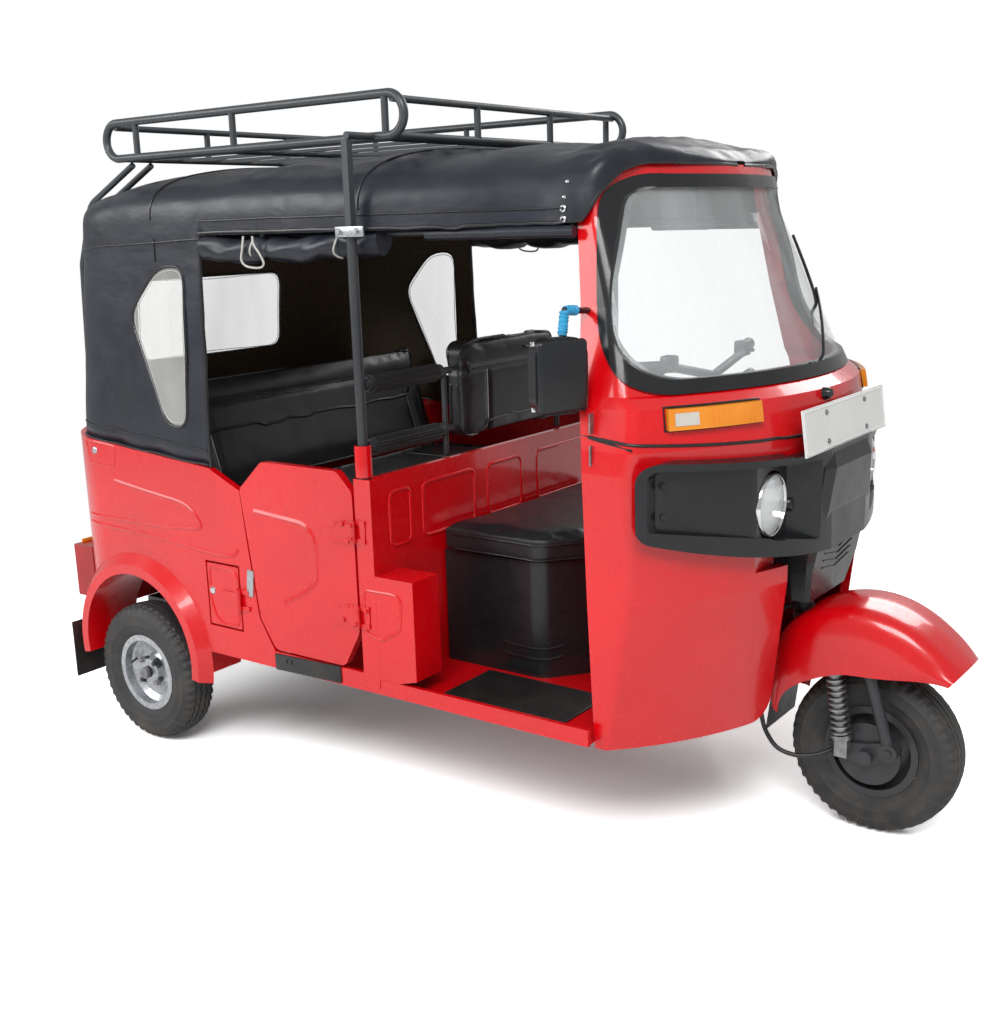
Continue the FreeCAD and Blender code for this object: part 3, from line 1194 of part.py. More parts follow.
def guard_section(angle_deg, outer, edge, grow):
    """One cross section of the mudguard: a round crown with a deep side wall down to its edge."""
    share = (angle_deg - 20.0) / 111.0
    half = size["guard_half_width"] * (0.82 + 0.18 * math.sin(math.pi * share)) + grow
    drop = outer - edge
    outer += grow
    angle = math.radians(angle_deg)
    out = Vector(-math.cos(angle), 0, math.sin(angle))
    centre = Vector(front_axle_x, 0, axle_z)
    side = [(-half, outer - drop), (-half * 0.985, outer - drop * 0.45 - 7), (-half * 0.78, outer - 13),
            (-half * 0.4, outer - 3)]
    spots = side + [(0, outer)] + [(-w, r) for w, r in reversed(side)]
    curve = Part.BSplineCurve()
    curve.interpolate([centre + out * r + Vector(0, w, 0) for w, r in spots])
    chord = Part.LineSegment(curve.EndPoint, curve.StartPoint)
    return Part.Wire([curve.toShape(), chord.toShape()])


def make_mudguard():
    stations = [(20.0, 268, 230), (40.0, 325, 236), (58.0, 372, 224), (78.0, 383, 220), (98.0, 369, 221),
                (115.0, 347, 248), (131.0, 331, 294)]
    outer = Part.makeLoft([guard_section(a, r, e, 0.0) for a, r, e in stations], True, False)
    first, last = stations[0], stations[-1]
    wider = [(first[0] - 6,) + first[1:]] + stations[1:-1] + [(last[0] + 6,) + last[1:]]
    inner = Part.makeLoft([guard_section(a, r, e - 8, -size["guard_wall"]) for a, r, e in wider], True, False)
    shell = outer.cut([inner, rod(column_point(-120), column_point(120), size["column_radius"] * 1.5 + 0.3)])
    solid_piece("front_mudguard", max(shell.Solids, key=lambda s: s.Volume))
    rear = Vector(front_axle_x - 249, 0, axle_z + 96)
    flap = prism([rear + Vector(8, -88, 12), rear + Vector(11, -88, 12), rear + Vector(-1, -88, -76),
                  rear + Vector(-4, -88, -76)], Vector(0, 176, 0))
    solid_piece("front_mud_flap", flap)


def make_handlebar():
    top = column_point(600.3)
    bar = bent_tube([top + Vector(-60, -330, 70), top + Vector(-10, -180, 60), top + Vector(0, 0, 24),
                     top + Vector(-10, 180, 60), top + Vector(-60, 330, 70)], 11, 60)
    clamp = rod(top, column_point(630), 24)
    grips = [rod(top + Vector(-60, s * 330, 70), top + Vector(-24, s * 222, 64), 17) for s in (-1, 1)]
    solid_piece("handlebar", fused([bar, clamp] + grips))


def make_hose():
    """Brake hose from the fork's crown down and back, then forward to the link's tail."""
    points = [Vector(860, -36, 545), Vector(846, -80, 548), Vector(832, -122, 500), Vector(824, -142, 420),
              Vector(824, -150, 330), Vector(836, -148, 256), Vector(868, -144, 208), Vector(916, -136, 196),
              Vector(960, -112, 200), Vector(992, -80, 214)]
    solid_piece("brake_hose", cord_tube(points, 5.5))


def cord_tube(points, radius):
    """A tube along the route, each arc as large as its two runs allow."""
    edges = []
    last = points[0]
    for i in range(1, len(points) - 1):
        here = points[i]
        back = (points[i - 1] - here)
        forth = (points[i + 1] - here)
        turn = math.pi - back.getAngle(forth)
        bend = 0.45 * min(back.Length, forth.Length) / math.tan(turn / 2)
        print("hose bend radius %.0f" % bend)
        cut = bend * math.tan(turn / 2)
        back.normalize()
        forth.normalize()
        start, end = here + back * cut, here + forth * cut
        middle = here + (back + forth).normalize() * (bend / math.cos(turn / 2) - bend)
        edges.append(Part.LineSegment(last, start).toShape())
        edges.append(Part.Arc(start, middle, end).toShape())
        last = end
    edges.append(Part.LineSegment(last, points[-1]).toShape())
    ring = Part.Wire(Part.makeCircle(radius, points[0], points[1] - points[0]))
    return Part.Wire(edges).makePipeShell([ring], True, False)


make_wheel("rear_right", size["rear_axle_x"], -size["track"] / 2, -1)
make_wheel("rear_left", size["rear_axle_x"], size["track"] / 2, 1)
make_wheel("front", front_axle_x, 0.0, 1)
make_rear_axles()
make_sides()
make_fenders()
make_floor()
make_sills()
make_partition()
make_poles()
make_bench()
make_driver_seat()
make_cab()
make_fascia()
make_front_trim()
make_mirrors()
make_hood()
make_rack()
make_engine()
make_chassis()
make_rear_fittings()
make_doors()
make_steering()
make_front_link()
make_mudguard()
make_handlebar()
make_hose()

doc.recompute()
faults = [thing.Label for thing in doc.Objects if {"Invalid", "Error"} & set(thing.State)]
faults += [piece.Label for piece in parts if piece.Shape.isNull() or not piece.Shape.isValid()]
if faults:
    raise ValueError("pieces that failed: " + ", ".join(sorted(set(faults))))
os.makedirs("parts", exist_ok=True)
for piece in parts:
    piece.Shape.exportStep("parts/%s.step" % piece.Label)
print("wrote", len(parts), "pieces")
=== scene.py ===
# %% [markdown]
# # An auto rickshaw with a vinyl hood, half doors and a roof rack
# The metal parts come in as a finished frame, in metres, already in their places.
# What is left to Blender is what the eye reads as real: paint, vinyl, rubber, stitched
# cushions, tyre tread, lamps and small fastenings. Each piece is made here from a few
# simple operators, and rides on the body that would carry it on the real vehicle.

# %% Load the frame
import bpy, bmesh, json
from math import atan2, copysign, cos, dist, exp, hypot, pi, radians, sin, tau
from mathutils import Matrix, Vector, noise
from mathutils.bvhtree import BVHTree


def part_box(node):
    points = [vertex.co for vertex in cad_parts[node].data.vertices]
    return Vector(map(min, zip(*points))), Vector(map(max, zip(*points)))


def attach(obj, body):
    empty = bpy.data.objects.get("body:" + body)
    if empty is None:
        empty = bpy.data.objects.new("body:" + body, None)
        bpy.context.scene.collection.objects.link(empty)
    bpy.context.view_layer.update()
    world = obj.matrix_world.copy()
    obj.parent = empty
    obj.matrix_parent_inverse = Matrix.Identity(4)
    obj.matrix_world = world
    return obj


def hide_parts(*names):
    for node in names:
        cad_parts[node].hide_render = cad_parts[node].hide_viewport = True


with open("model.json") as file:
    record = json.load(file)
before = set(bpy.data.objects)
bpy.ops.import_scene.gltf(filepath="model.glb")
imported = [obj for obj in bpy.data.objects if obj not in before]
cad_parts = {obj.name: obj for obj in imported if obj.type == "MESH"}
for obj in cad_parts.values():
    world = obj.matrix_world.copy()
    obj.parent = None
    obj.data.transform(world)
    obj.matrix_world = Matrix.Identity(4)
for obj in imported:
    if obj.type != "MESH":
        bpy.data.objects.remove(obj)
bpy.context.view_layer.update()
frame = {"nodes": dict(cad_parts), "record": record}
nodes = frame["nodes"]
scene = bpy.context.scene

# %% [markdown]
# The camera comes first. Its place and lens
# were worked out from the wheels and from pairs of points that mirror each other across
# the vehicle. A real photographer stood about three and a half metres off the front
# right corner, with the camera at chest height and the lens a little wide.

# %% Camera
def camera_turn(azimuth, pitch, roll):
    """Columns are the camera's right, up and backward directions."""
    a, p, r = (radians(v) for v in (azimuth, pitch, roll))
    forward = Vector((-sin(a) * cos(p), cos(a) * cos(p), -sin(p)))
    right = Vector((cos(a), sin(a), 0.0))
    up = right.cross(forward)
    turned_right = right * cos(r) + up * sin(r)
    turned_up = up * cos(r) - right * sin(r)
    return Matrix((turned_right, turned_up, -forward)).transposed()


CAMERA_PLACE = (2.024, -2.8312, 1.4782)
CAMERA_AZIMUTH, CAMERA_PITCH, CAMERA_ROLL = 36.3143, 12.9349, -1.7184
LENS = 43.86
camera_data = bpy.data.cameras.new("studio_camera")
camera_data.sensor_width = 36.0
camera_data.lens = LENS
camera = bpy.data.objects.new("studio_camera", camera_data)
scene.collection.objects.link(camera)
turn = camera_turn(CAMERA_AZIMUTH, CAMERA_PITCH, CAMERA_ROLL)
camera.matrix_world = Matrix.Translation(CAMERA_PLACE) @ turn.to_4x4()
scene.camera = camera
scene.view_settings.view_transform = "Standard"
print("camera", [round(v, 3) for v in camera.matrix_world.translation])

# %% [markdown]
# A seamless pale floor under a white sky stands in for a studio. To camera and
# see-through rays the floor is a very pale surface that turns to plain white a few metres
# out, so the vehicle keeps its soft shadow and the background stays white. The lamps are
# large and soft, and mirror rays meet a dimmer sky, so that deep colours stay deep.

# %% Floor, sky and lamps
def start_material(name):
    material = bpy.data.materials.new(name)
    material.use_nodes = True
    return material, material.node_tree, material.node_tree.nodes["Principled BSDF"]


def fill(tree, node, **settings):
    """Gives a node's inputs a value each, or a link from another node's output."""
    for key, value in settings.items():
        socket = node.inputs[key.replace("_", " ")]
        if isinstance(value, bpy.types.NodeSocket):
            tree.links.new(value, socket)
        else:
            socket.default_value = value


def add(tree, kind, **settings):
    """Adds a node; capitalised settings are its inputs, the rest are its properties."""
    made = tree.nodes.new("ShaderNode" + kind)
    for key, value in settings.items():
        if key[0].islower():
            setattr(made, key, value)
    fill(tree, made, **{key: value for key, value in settings.items() if key[0].isupper()})
    return made


def seen_directly(tree):
    """1 for camera and clear-through rays, which should meet the white background."""
    path = add(tree, "LightPath")
    both = add(tree, "Math", operation="MAXIMUM")
    tree.links.new(path.outputs["Is Camera Ray"], both.inputs[0])
    tree.links.new(path.outputs["Is Transmission Ray"], both.inputs[1])
    return both.outputs[0]


def studio_floor():
    material, tree, shader = start_material("studio_floor_finish")
    tree.nodes.remove(shader)
    dull = add(tree, "BsdfDiffuse", Color=(0.80, 0.80, 0.80, 1))
    pale = add(tree, "BsdfDiffuse", Color=(1.9, 1.9, 1.9, 1))
    white = add(tree, "Emission", Color=(1, 1, 1, 1), Strength=1.0)
    spot = add(tree, "TexCoord").outputs["Object"]
    reach = add(tree, "VectorMath", operation="LENGTH", Vector=spot).outputs["Value"]
    fade = add(tree, "MapRange", Value=reach, From_Min=1.7, From_Max=3.6, interpolation_type="SMOOTHSTEP")
    shown, whole = add(tree, "MixShader"), add(tree, "MixShader")
    for source, target in ((fade.outputs[0], shown.inputs[0]), (pale.outputs[0], shown.inputs[1]),
                           (white.outputs[0], shown.inputs[2]), (seen_directly(tree), whole.inputs[0]),
                           (dull.outputs[0], whole.inputs[1]), (shown.outputs[0], whole.inputs[2]),
                           (whole.outputs[0], tree.nodes["Material Output"].inputs["Surface"])):
        tree.links.new(source, target)
    return material


ground = bmesh.new()
bmesh.ops.create_circle(ground, cap_ends=True, segments=96, radius=30.0)
bmesh.ops.translate(ground, verts=ground.verts, vec=(0, 0, -0.001))
ground_mesh = bpy.data.meshes.new("studio_floor")
ground.to_mesh(ground_mesh)
ground_mesh.materials.append(studio_floor())
floor = bpy.data.objects.new("studio_floor", ground_mesh)
scene.collection.objects.link(floor)

world = bpy.data.worlds.new("studio_sky")
world.use_nodes = True
scene.world = world
sky = world.node_tree
level = add(sky, "MapRange", Value=seen_directly(sky), To_Min=0.45, To_Max=1.0)
fill(sky, sky.nodes["Background"], Color=(1, 1, 1, 1), Strength=level.outputs[0])


def soft_lamp(name, place, aim, width, power):
    data = bpy.data.lights.new(name, "AREA")
    data.shape, data.size, data.size_y, data.energy = "RECTANGLE", width, width * 0.6, power
    lamp = bpy.data.objects.new(name, data)
    scene.collection.objects.link(lamp)
    lamp.location = place
    lamp.rotation_euler = (Vector(aim) - Vector(place)).to_track_quat("-Z", "Y").to_euler()


soft_lamp("key_lamp", (3.0, -5.2, 6.0), (0, 0, 0.8), 4.5, 430)
soft_lamp("side_lamp", (-4.0, -4.5, 3.5), (-0.3, 0, 0.8), 4.0, 160)
soft_lamp("far_lamp", (0.5, 6.0, 4.5), (0, 0, 0.8), 4.0, 150)
print("studio ready")

# %% [markdown]
# Finishes. Every real surface varies a little: paint has orange peel and road dust near
# the ground, vinyl has grain, rubber is chalky. So each finish mixes two close colours
# with a noise pattern and adds a fine bump. The patterns read Object coordinates, which
# stay fixed to the piece whatever the camera does.

# %% Pattern helpers
def pattern(tree, scale, detail=4.0, stretch=(1, 1, 1), kind="TexNoise"):
    spot = add(tree, "TexCoord").outputs["Object"]
    scaled = add(tree, "Mapping", Vector=spot, Scale=stretch).outputs["Vector"]
    if kind == "TexVoronoi":
        return add(tree, kind, Vector=scaled, Scale=scale).outputs["Distance"]
    return add(tree, kind, Vector=scaled, Scale=scale, Detail=detail).outputs["Fac"]


def ramp(tree, source, *stops):
    """Stops are (position, colour); plain numbers make a grey."""
    made = add(tree, "ValToRGB", Fac=source)
    band = made.color_ramp
    while len(band.elements) < len(stops):
        band.elements.new(0.5)
    for element, (place, colour) in zip(band.elements, stops):
        element.position = place
        element.color = (colour,) * 3 + (1,) if isinstance(colour, (int, float)) else tuple(colour) + (1,)
    return made.outputs["Color"]


def mixed(tree, amount, first, second):
    made = add(tree, "Mix", data_type="RGBA")
    tree.links.new(amount, made.inputs[0])
    for socket, value in ((made.inputs[6], first), (made.inputs[7], second)):
        if isinstance(value, tuple):
            socket.default_value = value + (1,)
        else:
            tree.links.new(value, socket)
    return made.outputs[2]


def product(tree, first, second):
    made = add(tree, "Math", operation="MULTIPLY")
    for socket, value in zip(made.inputs, (first, second)):
        if isinstance(value, (int, float)):
            socket.default_value = value
        else:
            tree.links.new(value, socket)
    return made.outputs[0]


def bumped(tree, shader, height, strength, distance=0.001, under=None):
    made = add(tree, "Bump", Strength=strength, Distance=distance, Height=height)
    if under:
        tree.links.new(under, made.inputs["Normal"])
    tree.links.new(made.outputs["Normal"], shader.inputs["Normal"])
    return made.outputs["Normal"]


def low_down(tree, bottom, top):
    """1 at the bottom height, fading to 0 at the top height."""
    height = add(tree, "SeparateXYZ", Vector=add(tree, "TexCoord").outputs["Object"]).outputs["Z"]
    made = add(tree, "MapRange", Value=height, From_Min=bottom, From_Max=top, To_Min=1.0, To_Max=0.0)
    return made.outputs[0]


# %% [markdown]
# Paint, metal and grained goods are three recipes. A clear coat over the red gives the
# deep shine of new enamel. The grained recipe serves moulded plastic, rubber and vinyl
# alike, with soft creases for what is stretched. The clear recipe is a thin sheet that
# lets the light through and still catches the sky, and the hood's lining is woven on the
# cover's own UV map.

# %% Finishes
def paint(name, colour, shade, roughness=0.3, coat=0.7, dust=0.04):
    """Enamel under a clear coat; light that it throws on its surroundings is kept greyer."""
    material, tree, shader = start_material(name)
    base = ramp(tree, pattern(tree, 3.0, 5.0), (0.3, shade), (0.7, colour))
    grime = product(tree, low_down(tree, 0.15, 0.6), ramp(tree, pattern(tree, 7, 8), (0.35, 0.1), (0.8, 1.0)))
    dusty = mixed(tree, product(tree, grime, dust), base, (0.20, 0.08, 0.06))
    thrown = product(tree, add(tree, "LightPath").outputs["Is Diffuse Ray"], 0.75)
    grey = (0.5 * sum(colour) / 3,) * 3
    gloss = ramp(tree, pattern(tree, 30, 6), (0.3, roughness * 0.85), (0.8, roughness * 1.2))
    fill(tree, shader, Base_Color=mixed(tree, thrown, dusty, grey), Roughness=gloss, Coat_Weight=coat,
         Coat_Roughness=0.05)
    bumped(tree, shader, pattern(tree, 420, 2), 0.02, 0.0006)
    return material


def metal(name, colour, shade, roughness=0.35, scale=60, rust=0.0):
    material, tree, shader = start_material(name)
    base = ramp(tree, pattern(tree, scale, 6), (0.35, shade), (0.7, colour))
    if rust:
        spots = ramp(tree, pattern(tree, 35, 10), (0.60, 0.0), (0.72, 1.0))
        base = mixed(tree, product(tree, spots, rust), base, (0.10, 0.04, 0.02))
    gloss = ramp(tree, pattern(tree, scale * 2, 5), (0.3, roughness * 0.75), (0.8, roughness * 1.4))
    fill(tree, shader, Base_Color=base, Metallic=0.9, Roughness=gloss)
    bumped(tree, shader, pattern(tree, 300, 3), 0.08, 0.0006)
    return material


def grained(name, colour, shade, roughness=0.45, grain=700, depth=0.25, creases=0.0, sheen=0.0, dust=0.0):
    """Moulded plastic, rubber and vinyl: two close colours, a fine grain and soft creases."""
    material, tree, shader = start_material(name)
    base = ramp(tree, pattern(tree, 7, 6), (0.3, shade), (0.75, colour))
    if dust:
        patches = ramp(tree, pattern(tree, 18, 8), (0.40, 0.0), (0.8, 1.0))
        grime = product(tree, low_down(tree, 0.0, 0.7), patches)
        base = mixed(tree, product(tree, grime, dust), base, (0.20, 0.16, 0.12))
    gloss = ramp(tree, pattern(tree, 18, 6), (0.3, roughness * 0.8), (0.75, roughness * 1.25))
    fill(tree, shader, Base_Color=base, Roughness=gloss, Sheen_Weight=sheen)
    under = None
    if creases:
        under = bumped(tree, shader, pattern(tree, 9, 3, (1, 1, 2.2)), creases, 0.02)
    bumped(tree, shader, pattern(tree, grain, 2, kind="TexVoronoi"), depth, 0.0006, under)
    return material


def clear(name, colour, roughness=0.02, haze_and_reflection=0.0, thin=0.9):
    """A thin see-through sheet: mostly transparent, with a gloss that catches the sky.
    Its upright, less clear streaks are a painted reflection on the windscreen and haze on the other sheets.
    """
    material, tree, shader = start_material(name)
    # Less clear upright streaks: painted reflection streaks on the windscreen, haze on the other sheets.
    haze_and_reflection_streaks = ramp(tree, pattern(tree, 5, 5, (1, 1, 0.3)), (0.35, 1 - thin), (0.8, 1 - thin + haze_and_reflection))
    fill(tree, shader, Base_Color=colour + (1,), Roughness=roughness, IOR=1.5, Alpha=haze_and_reflection_streaks)
    return material


def woven(name, dark, light, across, along):
    """Basket weave on a piece's own UV map, as so many strands each way."""
    material, tree, shader = start_material(name)
    spot = add(tree, "TexCoord").outputs["UV"]
    scaled = add(tree, "Mapping", Vector=spot, Scale=(across, along, 1)).outputs["Vector"]
    shade = tuple(v * 0.6 for v in light)
    strands = add(tree, "TexBrick", Vector=scaled, Scale=1.0, Mortar_Size=0.06, Brick_Width=0.7,
                  Row_Height=0.35, Color1=light + (1,), Color2=shade + (1,), Mortar=dark + (1,))
    worn = mixed(tree, product(tree, pattern(tree, 4, 4), 0.5), strands.outputs["Color"], dark)
    fill(tree, shader, Base_Color=worn, Roughness=0.7)
    bumped(tree, shader, strands.outputs["Fac"], -0.5, 0.001)
    return material


red_paint = paint("glossy_red_paint", (0.70, 0.000, 0.004), (0.60, 0.000, 0.003), 0.26, 0.6)
black_paint = paint("black_frame_paint", (0.035, 0.038, 0.042), (0.018, 0.020, 0.023), 0.42, 0.25)
slate_paint = paint("slate_rack_paint", (0.045, 0.053, 0.060), (0.026, 0.031, 0.036), 0.45, 0.2)
galvanised = metal("galvanised_steel", (0.62, 0.64, 0.66), (0.42, 0.43, 0.45), 0.34, 90)
chrome = metal("polished_chrome", (0.80, 0.81, 0.82), (0.70, 0.71, 0.72), 0.08, 20)
worn_steel = metal("worn_steel", (0.45, 0.45, 0.46), (0.22, 0.22, 0.23), 0.4, 50, 0.4)
cast_metal = metal("cast_engine_metal", (0.30, 0.30, 0.31), (0.16, 0.16, 0.17), 0.6, 40, 0.3)
black_plastic = grained("black_moulded_plastic", (0.014, 0.015, 0.017), (0.008, 0.009, 0.010), 0.28,
                        1400, 0.06)
hood_vinyl = grained("hood_vinyl", (0.016, 0.020, 0.030), (0.008, 0.010, 0.016), 0.38, 900, 0.15, 0.12, 0.0)
seat_vinyl = grained("seat_vinyl", (0.018, 0.020, 0.022), (0.010, 0.011, 0.013), 0.34, 800, 0.25, 0.06, 0.0)
piping_vinyl = grained("piping_vinyl", (0.022, 0.022, 0.025), (0.012, 0.012, 0.014), 0.28, 600, 0.2)
black_rubber = grained("black_rubber", (0.020, 0.020, 0.021), (0.010, 0.010, 0.010), 0.42, 500, 0.15,
                       dust=0.2)
seal_rubber = grained("glossy_seal_rubber", (0.016, 0.017, 0.019), (0.009, 0.009, 0.010), 0.22, 300, 0.05)
tyre_rubber = grained("tyre_rubber", (0.034, 0.035, 0.037), (0.018, 0.019, 0.020), 0.62, 500, 0.3, dust=0.35)
pale_thread = grained("pale_thread", (0.55, 0.54, 0.50), (0.40, 0.39, 0.36), 0.7, 300, 0.3)
blue_tape = grained("blue_tape", (0.03, 0.36, 0.62), (0.02, 0.26, 0.50), 0.4, 200, 0.4, 0.4)
# The windscreen's streaks are a painted reflection.
screen_glass = clear("windscreen_glass", (0.80, 0.85, 0.86), 0.02, 0.22, 0.90)
clear_vinyl = clear("clear_window_vinyl", (0.86, 0.86, 0.83), 0.10, 0.22, 0.78)
white_plate = grained("white_plate", (0.80, 0.80, 0.78), (0.72, 0.72, 0.70), 0.35, 300, 0.05)
amber_lens = grained("amber_lens", (0.85, 0.30, 0.03), (0.70, 0.19, 0.01), 0.12, 120, 0.5)
clear_lens = grained("clear_lens_inset", (0.62, 0.60, 0.55), (0.45, 0.42, 0.38), 0.10, 120, 0.5)
red_lens = grained("red_lens", (0.45, 0.01, 0.01), (0.30, 0.005, 0.005), 0.12, 120, 0.5)
lamp_glass = clear("headlamp_glass", (0.95, 0.96, 0.97), 0.03, 0.15, 0.65)
lining = woven("basket_weave_lining", (0.018, 0.014, 0.008), (0.16, 0.105, 0.04), 330, 150)

finish_of = {
    "red_paint": red_paint, "dark_paint": black_paint, "grey_steel": worn_steel,
    "galvanised_steel": galvanised, "black_plastic": black_plastic, "hood_vinyl": hood_vinyl,
    "seat_vinyl": seat_vinyl, "black_rubber": black_rubber, "tyre_rubber": tyre_rubber,
    "screen_glass": screen_glass, "clear_vinyl": clear_vinyl, "lamp_lens": lamp_glass,
    "amber_lens": amber_lens, "red_lens": red_lens, "plate_white": white_plate, "cast_block": cast_metal,
}
special = {"roof_rack": slate_paint, "rack_legs": slate_paint, "windscreen_seal": seal_rubber,
           "front_rim": black_paint, "roof_poles": black_paint, "grab_bars": black_paint}
slot_of = {entry["node"]: entry["material_slot"] for entry in frame["record"]["subparts"]}
for name, part in nodes.items():
    part.data.materials.clear()
    part.data.materials.append(special.get(name, finish_of[slot_of[name]]))
print("finishes on", len(nodes), "frame nodes")

# %% [markdown]
# Small shapes are made apart and stamped into a piece: a block with rounded edges, a
# lathe-turned shape, a hexagon bolt, and a tube along a line. A tube is a bevelled
# curve turned into mesh, which is how piping, bars and welts are quickest to lay.
# `finished` gives a piece its finish and the body that it rides on, and `cast`
# throws a line at a piece from outside, so that trim can follow its surface.

# %% Shape helpers
def stamp(bm, part, matrix=Matrix(), material=0):
    """Copies a small mesh into a bigger one, at a place, with one of its finishes."""
    part.transform(matrix)
    for face in part.faces:
        face.material_index = material
    mesh = bpy.data.meshes.new("stamp")
    part.to_mesh(mesh)
    part.free()
    bm.from_mesh(mesh)
    bpy.data.meshes.remove(mesh)


BACKWARDS, DOWN = (-1, 0, 0), (0, 0, -1)


def softened(part, edge, segments):
    """Rounds every edge."""
    bmesh.ops.bevel(part, geom=part.edges[:], offset=edge, segments=segments, profile=0.5, affect="EDGES",
                    material=-1)


def block(size, edge=0.002, segments=2):
    part = bmesh.new()
    bmesh.ops.create_cube(part, size=1.0)
    bmesh.ops.scale(part, vec=size, verts=part.verts)
    softened(part, edge, segments)
    return part


def lathed(profile, steps=40):
    """A shape turned about its own Z axis, from (radius, height) points."""
    part = bmesh.new()
    line = [part.verts.new((r, 0, h)) for r, h in profile]
    edges = [part.edges.new(pair) for pair in zip(line, line[1:])]
    bmesh.ops.spin(part, geom=line + edges, cent=(0, 0, 0), axis=(0, 0, 1), angle=tau, steps=steps,
                   use_merge=True, use_duplicate=False)
    bmesh.ops.remove_doubles(part, verts=part.verts, dist=1e-5)
    bmesh.ops.recalc_face_normals(part, faces=part.faces)
    return part


def bolt(radius, high):
    """Hexagon head on a washer, standing on Z = 0."""
    part = lathed([(0, 0), (radius * 1.35, 0), (radius * 1.35, high * 0.25), (0, high * 0.25)], 20)
    head = bmesh.new()
    bmesh.ops.create_cone(head, cap_ends=True, segments=6, radius1=radius, radius2=radius * 0.92, depth=high)
    softened(head, radius * 0.08, 1)
    stamp(part, head, Matrix.Translation((0, 0, high * 0.6)))
    return part


def at(x, y, z):
    return Matrix.Translation((x, y, z))


def facing(place, out, turn=0.0):
    """A place whose Z axis points outwards, turned about that axis."""
    quat = Vector(out).to_track_quat("Z", "Y")
    return Matrix.Translation(place) @ quat.to_matrix().to_4x4() @ Matrix.Rotation(turn, 4, "Z")


def add_tube(bm, points, radius, smooth=True, closed=False, sides=3, material=0):
    curve = bpy.data.curves.new("run", "CURVE")
    curve.dimensions, curve.bevel_depth, curve.bevel_resolution = "3D", radius, sides
    curve.use_fill_caps, curve.resolution_u = True, 5
    spline = curve.splines.new("NURBS" if smooth else "POLY")
    spline.points.add(len(points) - 1)
    for spot, point in zip(spline.points, points):
        spot.co = (*point, 1)
    spline.use_cyclic_u = closed
    if smooth:
        spline.order_u = 3
        spline.use_endpoint_u = not closed
    holder = bpy.data.objects.new("run", curve)
    mesh = bpy.data.meshes.new_from_object(holder)
    for face in mesh.polygons:
        face.material_index = material
    bm.from_mesh(mesh)
    bpy.data.objects.remove(holder)
    bpy.data.meshes.remove(mesh)


def add_mirror(bm):
    """Adds the same shapes on the vehicle's other side."""
    made = bmesh.ops.duplicate(bm, geom=bm.verts[:] + bm.edges[:] + bm.faces[:])["geom"]
    verts = [v for v in made if isinstance(v, bmesh.types.BMVert)]
    bmesh.ops.scale(bm, vec=(1, -1, 1), verts=verts)
    bmesh.ops.reverse_faces(bm, faces=[f for f in made if isinstance(f, bmesh.types.BMFace)])


def finished(name, bm, finishes, body="body", replaces=(), crisp=35):
    """Turns the working mesh into a named piece with its finishes, and sets it riding on a body."""
    mesh = bpy.data.meshes.new(name)
    bm.to_mesh(mesh)
    bm.free()
    for finish in finishes if isinstance(finishes, (list, tuple)) else [finishes]:
        mesh.materials.append(finish)
    mesh.shade_smooth()
    mesh.set_sharp_from_angle(angle=radians(crisp))
    made = bpy.data.objects.new(name, mesh)
    scene.collection.objects.link(made)
    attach(made, body)
    if replaces:
        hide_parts(*replaces)
    print(name, len(mesh.polygons), "faces on", body)
    return made


def surface_tree(thing):
    """A search tree of a piece's shown surface, for laying things on it."""
    return BVHTree.FromObject(thing, bpy.context.evaluated_depsgraph_get())


def laid_on(tree, points, lift):
    """Moves points to the nearest surface and lifts them off it."""
    moved = []
    for point in points:
        spot, normal, _, _ = tree.find_nearest(Vector(point))
        moved.append(spot + normal * lift)
    return moved


def cast(tree, start, way):
    """Where a straight line from outside first meets a piece; the nearest spot if it misses."""
    spot, normal, _, _ = tree.ray_cast(Vector(start), Vector(way))
    if spot is None:
        spot, normal, _, _ = tree.find_nearest(Vector(start))
    return spot, normal


def traced(tree, starts, way, lift):
    return [spot + normal * lift for spot, normal in (cast(tree, s, way) for s in starts)]


def spread(points, step=0.014, closed=False):
    """Adds points along straight runs, so that a line can follow a curved surface."""
    dense = []
    ends = zip(points, points[1:] + points[:1]) if closed else zip(points, points[1:])
    for a, b in ends:
        a, b = Vector(a), Vector(b)
        count = max(1, int((b - a).length / step))
        dense += [a.lerp(b, k / count) for k in range(count)]
    return dense if closed else dense + [Vector(points[-1])]

# %% [markdown]
# ## The hood
# The real hood is one vinyl cover, sewn from a few panels and pulled over four hoops.
# A lofted block would look hard, so it is a single sheet: a grid whose rows run from
# the closed back wall to the front edge, each row bent over a round roof section.
# Between the hoops it hangs a little, and it creases where it is pulled at the front
# corners. The clear windows are sliced out along their round outlines.

# %% The hood's run of sections
REAR, GUTTER = -1.2585, 1.480
ROWS = [  # place along the vehicle, half width, crown height, height where the side begins
    (REAR, 0.0, 1.574, 1.470), (REAR, 0.14, 1.577, 1.474), (REAR, 0.28, 1.581, 1.477),
    (REAR, 0.385, 1.585, GUTTER),
    (-1.2385, 0.470, 1.597, GUTTER), (-1.1885, 0.537, 1.616, GUTTER), (-1.1085, 0.573, 1.634, GUTTER),
    (-0.9385, 0.583, 1.654, GUTTER), (-0.660, 0.584, 1.667, GUTTER), (-0.400, 0.581, 1.674, GUTTER),
    (-0.100, 0.576, 1.675, GUTTER), (0.140, 0.552, 1.674, GUTTER), (0.360, 0.515, 1.671, GUTTER),
    (0.500, 0.487, 1.666, 1.481), (0.540, 0.477, 1.662, 1.487), (0.567, 0.458, 1.657, 1.541),
    (0.590, 0.402, 1.652, 1.588), (0.612, 0.342, 1.646, 1.6045), (0.644, 0.252, 1.635, 1.606),
    (0.672, 0.142, 1.617, 1.606), (0.683, 0.020, 1.609, 1.604)]
HOOPS = [-1.215, -0.930, -0.760, -0.360, -0.028, 0.300, 0.530, 0.700]
ROOF_SHARE = 0.62  # of each row, from the middle to the shoulder


def hem_height(x):
    return 0.906 - (x + 1.122) * 0.083


